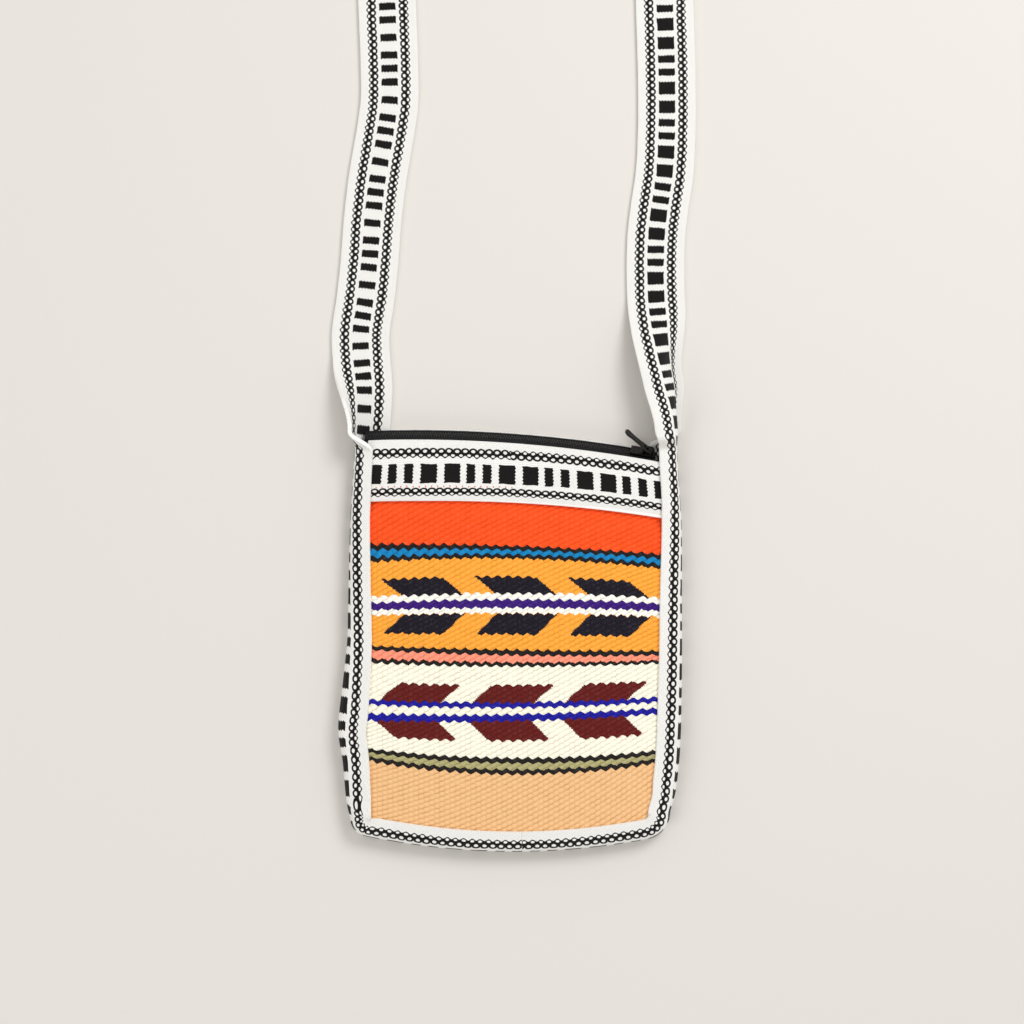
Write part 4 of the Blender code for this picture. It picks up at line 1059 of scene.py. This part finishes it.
panel = cloth_object("front_panel_wool", PANEL_COLUMNS, PANEL_ROWS, panel_place,
                     lambda column, row: panel_chart[column][row], [stripes_look()],
                     PANEL_THICKNESS)
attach(panel, "bag")
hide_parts("front_panel")


# Front top band: woven band of the same kind, sewn over the panel's top edge and along the zip.
# Its chains are set further apart than the strap's, and the upper one changes sides midway.
TOP_BAND_COLUMNS = 190
TOP_BAND_ROWS = 40
TOP_BAND_DRAWN_WIDTH = 0.1780
# Distance below the band's upper edge, and the place across on the strap that is drawn there
TOP_BAND_MARKS = ((0.0, 0.0170), (0.0049, 0.0126), (0.0111, 0.0067), (0.0145, 0.0049),
                  (0.0257, -0.0049), (0.0284, -0.0067), (0.0334, -0.0124), (0.0360, -0.0160))
TOP_BLOCK_PERIOD = 0.0460
TOP_BLOCKS = ((0.0, 0.0050), (0.0094, 0.0146), (0.0190, 0.0287), (0.0330, 0.0424))
TOP_BLOCK_START = -0.0755
TOP_CHAIN_DRAWN = 0.79
TOP_CHAIN_SWAP = -0.0040
TOP_CHAIN_MIRROR = 0.0191
TOP_BAND_ASKEW = 0.0021
# A seam in red thread, along the left half of the lower chain
RED_STITCH = paint(226, 128, 116)
RED_STITCH_LINE = 0.0062
RED_STITCH_PITCH = 0.0036
RED_STITCH_SHARE = 0.22
RED_STITCH_WIDTH = (0.00045, 0.00020)
RED_STITCH_END = 0.0


def top_band_look():
    """White wool with black blocks between two chains, for the front band."""
    look, tree, shader = wool_look("banded_wool_top")
    chart, along, across = cloth_point(tree)
    away = calc(tree, "ABSOLUTE", across)
    upper_left = calc(tree, "MULTIPLY", calc(tree, "GREATER_THAN", across, 0.0),
                      calc(tree, "LESS_THAN", along, TOP_CHAIN_SWAP))
    turned = calc(tree, "SUBTRACT", TOP_CHAIN_MIRROR, away)
    swapped = calc(tree, "ADD", away, calc(tree, "MULTIPLY", upper_left,
                                           calc(tree, "SUBTRACT", turned, away)))
    chain = chain_mask(tree, calc(tree, "MULTIPLY", along, TOP_CHAIN_DRAWN), swapped)
    blocks = block_mask(tree, along, away, TOP_BLOCK_START, TOP_BLOCK_PERIOD, TOP_BLOCKS)
    look = band_shading(look, tree, shader, chart, along, across,
                        calc(tree, "MAXIMUM", chain, blocks))
    near = calc(tree, "ABSOLUTE", calc(tree, "ADD", across, RED_STITCH_LINE))
    turn = calc(tree, "FRACT", calc(tree, "DIVIDE", along, RED_STITCH_PITCH))
    stitch = calc(tree, "MULTIPLY", fade(tree, near, *RED_STITCH_WIDTH),
                  calc(tree, "LESS_THAN", turn, RED_STITCH_SHARE))
    shown = calc(tree, "MULTIPLY", stitch, calc(tree, "LESS_THAN", along, RED_STITCH_END))
    wool = shader.inputs["Base Color"].links[0].from_socket
    feed(tree, shader.inputs["Base Color"], mix_colour(tree, shown, wool, RED_STITCH))
    return look


top_plan = patch_grid(side_seam, TOP_BAND_END, TOP_BAND_START, TOP_BAND_COLUMNS, TOP_BAND_ROWS)
for line in top_plan:
    for row, point in enumerate(line):
        point.y += band_taper(point.x) * (1 - row / TOP_BAND_ROWS)
top_belows, top_acrosses = zip(*TOP_BAND_MARKS)


def top_chart(column, row):
    """Lengths on the front band's cloth, in the strap's measures across."""
    share = column / TOP_BAND_COLUMNS
    below = TOP_BAND_HEIGHT * (1 - row / TOP_BAND_ROWS)
    below += TOP_BAND_ASKEW * share ** TOP_BAND_TAPER_POWER
    across = float(np.interp(below, top_belows, top_acrosses))
    return (share - 0.5) * TOP_BAND_DRAWN_WIDTH, across


def top_place(column, row):
    """Place of a vertex of the front band."""
    x, y = top_plan[column][row]
    return Vector((x, y, face_height(x, y) + (PANEL_THICKNESS - BAND_THICKNESS) / 2))


top_band = cloth_object("front_top_band_wool", TOP_BAND_COLUMNS, TOP_BAND_ROWS, top_place,
                        top_chart, [top_band_look()], BAND_THICKNESS, soft_edge=BAND_SOFT_EDGE)
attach(top_band, "bag")
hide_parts("front_top_band")


# Back panel and back top band: plain wool cloth and a band of the strap's kind, both lying flat
# on the floor. They meet the back edge of the side band and each other edge to edge.
BACK_COLUMNS = 112
BACK_ROWS = 126
BACK_RELIEF = 0.0003
BACK_RELIEF_FADE = 3
BACK_SOFT_EDGE = 0.0004
BACK_BAND_COLUMNS = 120
BACK_BAND_ROWS = 30
BACK_BAND_START = -0.0038
BACK_DRAWN_WIDTH = 0.1660
BACK_DRAWN_HEIGHT = 0.1850
BACK_BAND_DRAWN_WIDTH = 0.1560
BACK_BAND_SOFT_EDGE = 0.0005


def back_seam(place):
    """Distance in from the crease at which the back flap ends and the back pieces begin."""
    back_edge = BAND_WIDTH - FOLD_LENGTH - slide_at(place)
    return section_at(place, [-FOLD_LENGTH, back_edge])[-1][0] + GAP


BACK_WOOL = paint(238, 188, 134)


def plain_look():
    """Tan wool cloth with the front's weave."""
    look, tree, shader = wool_look("plain_wool_cloth")
    chart, along, up = cloth_point(tree)
    relief = bump_relief(tree, along, up)
    return panel_shading(look, tree, shader, chart, relief, BACK_WOOL)


back_plan = patch_grid(back_seam, None, TOP_BAND_END + GAP / 2, BACK_COLUMNS, BACK_ROWS)


def back_chart(column, row):
    """Lengths on the back panel's cloth."""
    return (column / BACK_COLUMNS * BACK_DRAWN_WIDTH, row / BACK_ROWS * BACK_DRAWN_HEIGHT)


def back_place(column, row):
    """Place of a vertex of the back panel."""
    edge = min(column, BACK_COLUMNS - column, row, BACK_ROWS - row) / BACK_RELIEF_FADE
    relief = BACK_RELIEF * (1 - bump_height(*back_chart(column, row))) * ease(edge)
    return Vector((*back_plan[column][row], PANEL_THICKNESS / 2 + relief))


back = cloth_object("back_panel_wool", BACK_COLUMNS, BACK_ROWS, back_place, back_chart,
                    [plain_look()], PANEL_THICKNESS, soft_edge=BACK_SOFT_EDGE)
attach(back, "bag")
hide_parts("back_panel")

back_band_plan = patch_grid(back_seam, TOP_BAND_END - GAP / 2, BACK_BAND_START,
                            BACK_BAND_COLUMNS, BACK_BAND_ROWS)
back_band = cloth_object(
    "back_top_band_wool", BACK_BAND_COLUMNS, BACK_BAND_ROWS,
    lambda column, row: Vector((*back_band_plan[column][row], BAND_THICKNESS / 2)),
    lambda column, row: (column / BACK_BAND_COLUMNS * BACK_BAND_DRAWN_WIDTH,
                         (row / BACK_BAND_ROWS - 0.5) * BAND_WIDTH),
    [band_outer], BAND_THICKNESS, soft_edge=BACK_BAND_SOFT_EDGE)
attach(back_band, "bag")
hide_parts("back_top_band")


# Zip: two rows of fine black coil teeth, sewn along the edges of woven tapes. The teeth stand
# leaning up and over the bag's top edge; the tapes go in under the front and back bands.
ZIP_HEIGHT = 0.0081
ZIP_LEAN = math.radians(35)
ZIP_END_INSET = 0.0117
ZIP_LENGTH = BAG_WIDTH - 2 * ZIP_END_INSET
COIL_PITCH = 0.0015
COIL_ALONG = 0.00046
COIL_INNER = 0.0007
COIL_OUTER = 0.0026
COIL_HEIGHT = 0.00082
COIL_SEGMENTS = 10
COIL_RINGS = 6
TAPE_EDGE_COLUMNS = 160
TAPE_EDGE_ROWS = 2
TAPE_EDGE_WIDTH = 0.0029
TAPE_EDGE_START = 0.0001
TAPE_EDGE_THICKNESS = 0.0004
SLIDER_MOUTH = 0.0160
GLOSS_SCALE = 900.0
GLOSS_SPREAD = 0.16
TAPE_RIB_SCALE = 320.0


def zip_point(angle, across, out):
    """Point of the zip: an angle along its arc, across towards the front, and outward."""
    radial = Vector((math.sin(angle), math.cos(angle), 0.0))
    towards_front = -math.sin(ZIP_LEAN) * radial + math.cos(ZIP_LEAN) * Vector((0, 0, 1))
    outward = math.cos(ZIP_LEAN) * radial + math.sin(ZIP_LEAN) * Vector((0, 0, 1))
    base = Vector((ZIP_CENTRE.x, ZIP_CENTRE.y, ZIP_HEIGHT)) + ZIP_RADIUS * radial
    return base + across * towards_front + out * outward


def moulded_look(name, colour, roughness, coat):
    """Black plastic or lacquer, its gloss a little uneven."""
    look = bpy.data.materials.new(name)
    look.use_nodes = True
    tree = look.node_tree
    shader = tree.nodes["Principled BSDF"]
    shader.inputs["Base Color"].default_value = paint(*colour)
    shader.inputs["Specular IOR Level"].default_value = 0.35
    shader.inputs["Coat Weight"].default_value = coat
    shader.inputs["Coat Roughness"].default_value = 0.12
    place = node(tree, "ShaderNodeTexCoord")
    handled = node(tree, "ShaderNodeTexNoise")
    handled.inputs["Scale"].default_value = GLOSS_SCALE
    tree.links.new(place.outputs["Object"], handled.inputs["Vector"])
    feed(tree, shader.inputs["Roughness"],
         calc(tree, "MULTIPLY_ADD", handled.outputs[0], GLOSS_SPREAD,
              roughness - GLOSS_SPREAD / 2))
    return look


coil_look = moulded_look("black_coil", (26, 26, 28), 0.30, 0.2)

zip_angle_start = ZIP_SLANT - math.asin(ZIP_LENGTH / 2 / ZIP_RADIUS)
zip_angle_end = ZIP_SLANT + math.asin(ZIP_LENGTH / 2 / ZIP_RADIUS)
tooth_count = int((ZIP_LENGTH - SLIDER_MOUTH / 2) / COIL_PITCH)
# The two rows stand half a pitch apart, so that they mesh
for row_name, side, first_tooth in (("front", 1, 0.25), ("back", -1, 0.75)):
    coil = bmesh.new()
    for tooth in range(tooth_count):
        shift = tooth + first_tooth
        angle = zip_angle_start + shift * COIL_PITCH / ZIP_RADIUS
        middle = side * (COIL_OUTER - COIL_INNER) / 2
        place = zip_point(angle, middle, 0.0)
        across = zip_point(angle, middle + 1.0, 0.0) - place
        out = zip_point(angle, middle, 1.0) - place
        along = across.cross(out)
        turn = Matrix((along, across, out)).transposed().to_4x4()
        size = Matrix.Diagonal((COIL_ALONG, (COIL_OUTER + COIL_INNER) / 2, COIL_HEIGHT, 1.0))
        bmesh.ops.create_uvsphere(coil, u_segments=COIL_SEGMENTS, v_segments=COIL_RINGS,
                                  radius=1.0, matrix=Matrix.Translation(place) @ turn @ size)
    mesh = bpy.data.meshes.new("coil_" + row_name)
    coil.to_mesh(mesh)
    coil.free()
    mesh.materials.append(coil_look)
    mesh.shade_smooth()
    teeth = bpy.data.objects.new("zip_coil_" + row_name, mesh)
    bpy.context.scene.collection.objects.link(teeth)
    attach(teeth, "bag")
    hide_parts("zip_teeth_" + row_name)


def tape_look():
    """Fine black woven tape, with small ribs across it, darker in their grooves as painted shade.
    """
    look = bpy.data.materials.new("black_tape_weave")
    look.use_nodes = True
    tree = look.node_tree
    shader = tree.nodes["Principled BSDF"]
    shader.inputs["Roughness"].default_value = 0.85
    shader.inputs["Specular IOR Level"].default_value = 0.3
    place = node(tree, "ShaderNodeTexCoord")
    ribs = node(tree, "ShaderNodeTexWave")
    ribs.inputs["Scale"].default_value = TAPE_RIB_SCALE
    tree.links.new(place.outputs["Object"], ribs.inputs["Vector"])
    # Painted shade: the tape's colour follows the ribs' height, darker in their grooves
    tree.links.new(mix_colour(tree, ribs.outputs["Fac"], paint(10, 10, 11), paint(30, 30, 32)),
                   shader.inputs["Base Color"])
    bump = node(tree, "ShaderNodeBump")
    bump.inputs["Strength"].default_value = 0.4
    bump.inputs["Distance"].default_value = 0.0002
    tree.links.new(ribs.outputs["Fac"], bump.inputs["Height"])
    tree.links.new(bump.outputs[0], shader.inputs["Normal"])
    return look


tape_weave = tape_look()
for tape_name in ("zip_tape_front", "zip_tape_back"):
    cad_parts[tape_name].material_slots[0].material = tape_weave

# The tapes' inner edges, which the coils are sewn to
edge_angles = [zip_angle_start + (zip_angle_end - zip_angle_start) * column / TAPE_EDGE_COLUMNS
               for column in range(TAPE_EDGE_COLUMNS + 1)]
edge_acrosses = [TAPE_EDGE_START + (TAPE_EDGE_WIDTH - TAPE_EDGE_START) * row / TAPE_EDGE_ROWS
                 for row in range(TAPE_EDGE_ROWS + 1)]
for row_name, side in (("front", 1), ("back", -1)):
    edge = cloth_object(
        "zip_tape_edge_" + row_name, TAPE_EDGE_COLUMNS, TAPE_EDGE_ROWS,
        lambda column, row: zip_point(edge_angles[column], side * edge_acrosses[row], 0.0),
        lambda column, row: (ZIP_LENGTH * column / TAPE_EDGE_COLUMNS,
                             TAPE_EDGE_WIDTH * row / TAPE_EDGE_ROWS),
        [tape_weave], TAPE_EDGE_THICKNESS)
    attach(edge, "bag")


# Slider and pull: cast metal under black lacquer, with their edges rounded by the casting. The
# pull hangs in the slider's crown and leans back along the closed zip.
SLIDER_ROUNDING = 0.00028
SLIDER_EDGE_ANGLE = math.radians(40)

lacquer = moulded_look("black_lacquer", (9, 9, 10), 0.26, 0.15)
for cast_name in ("zip_slider", "zip_pull"):
    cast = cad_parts[cast_name]
    cast.material_slots[0].material = lacquer
    rounding = cast.modifiers.new("rounded edges", "BEVEL")
    rounding.width = SLIDER_ROUNDING
    rounding.segments = 3
    rounding.limit_method = "ANGLE"
    rounding.angle_limit = SLIDER_EDGE_ANGLE
    rounding.use_clamp_overlap = True
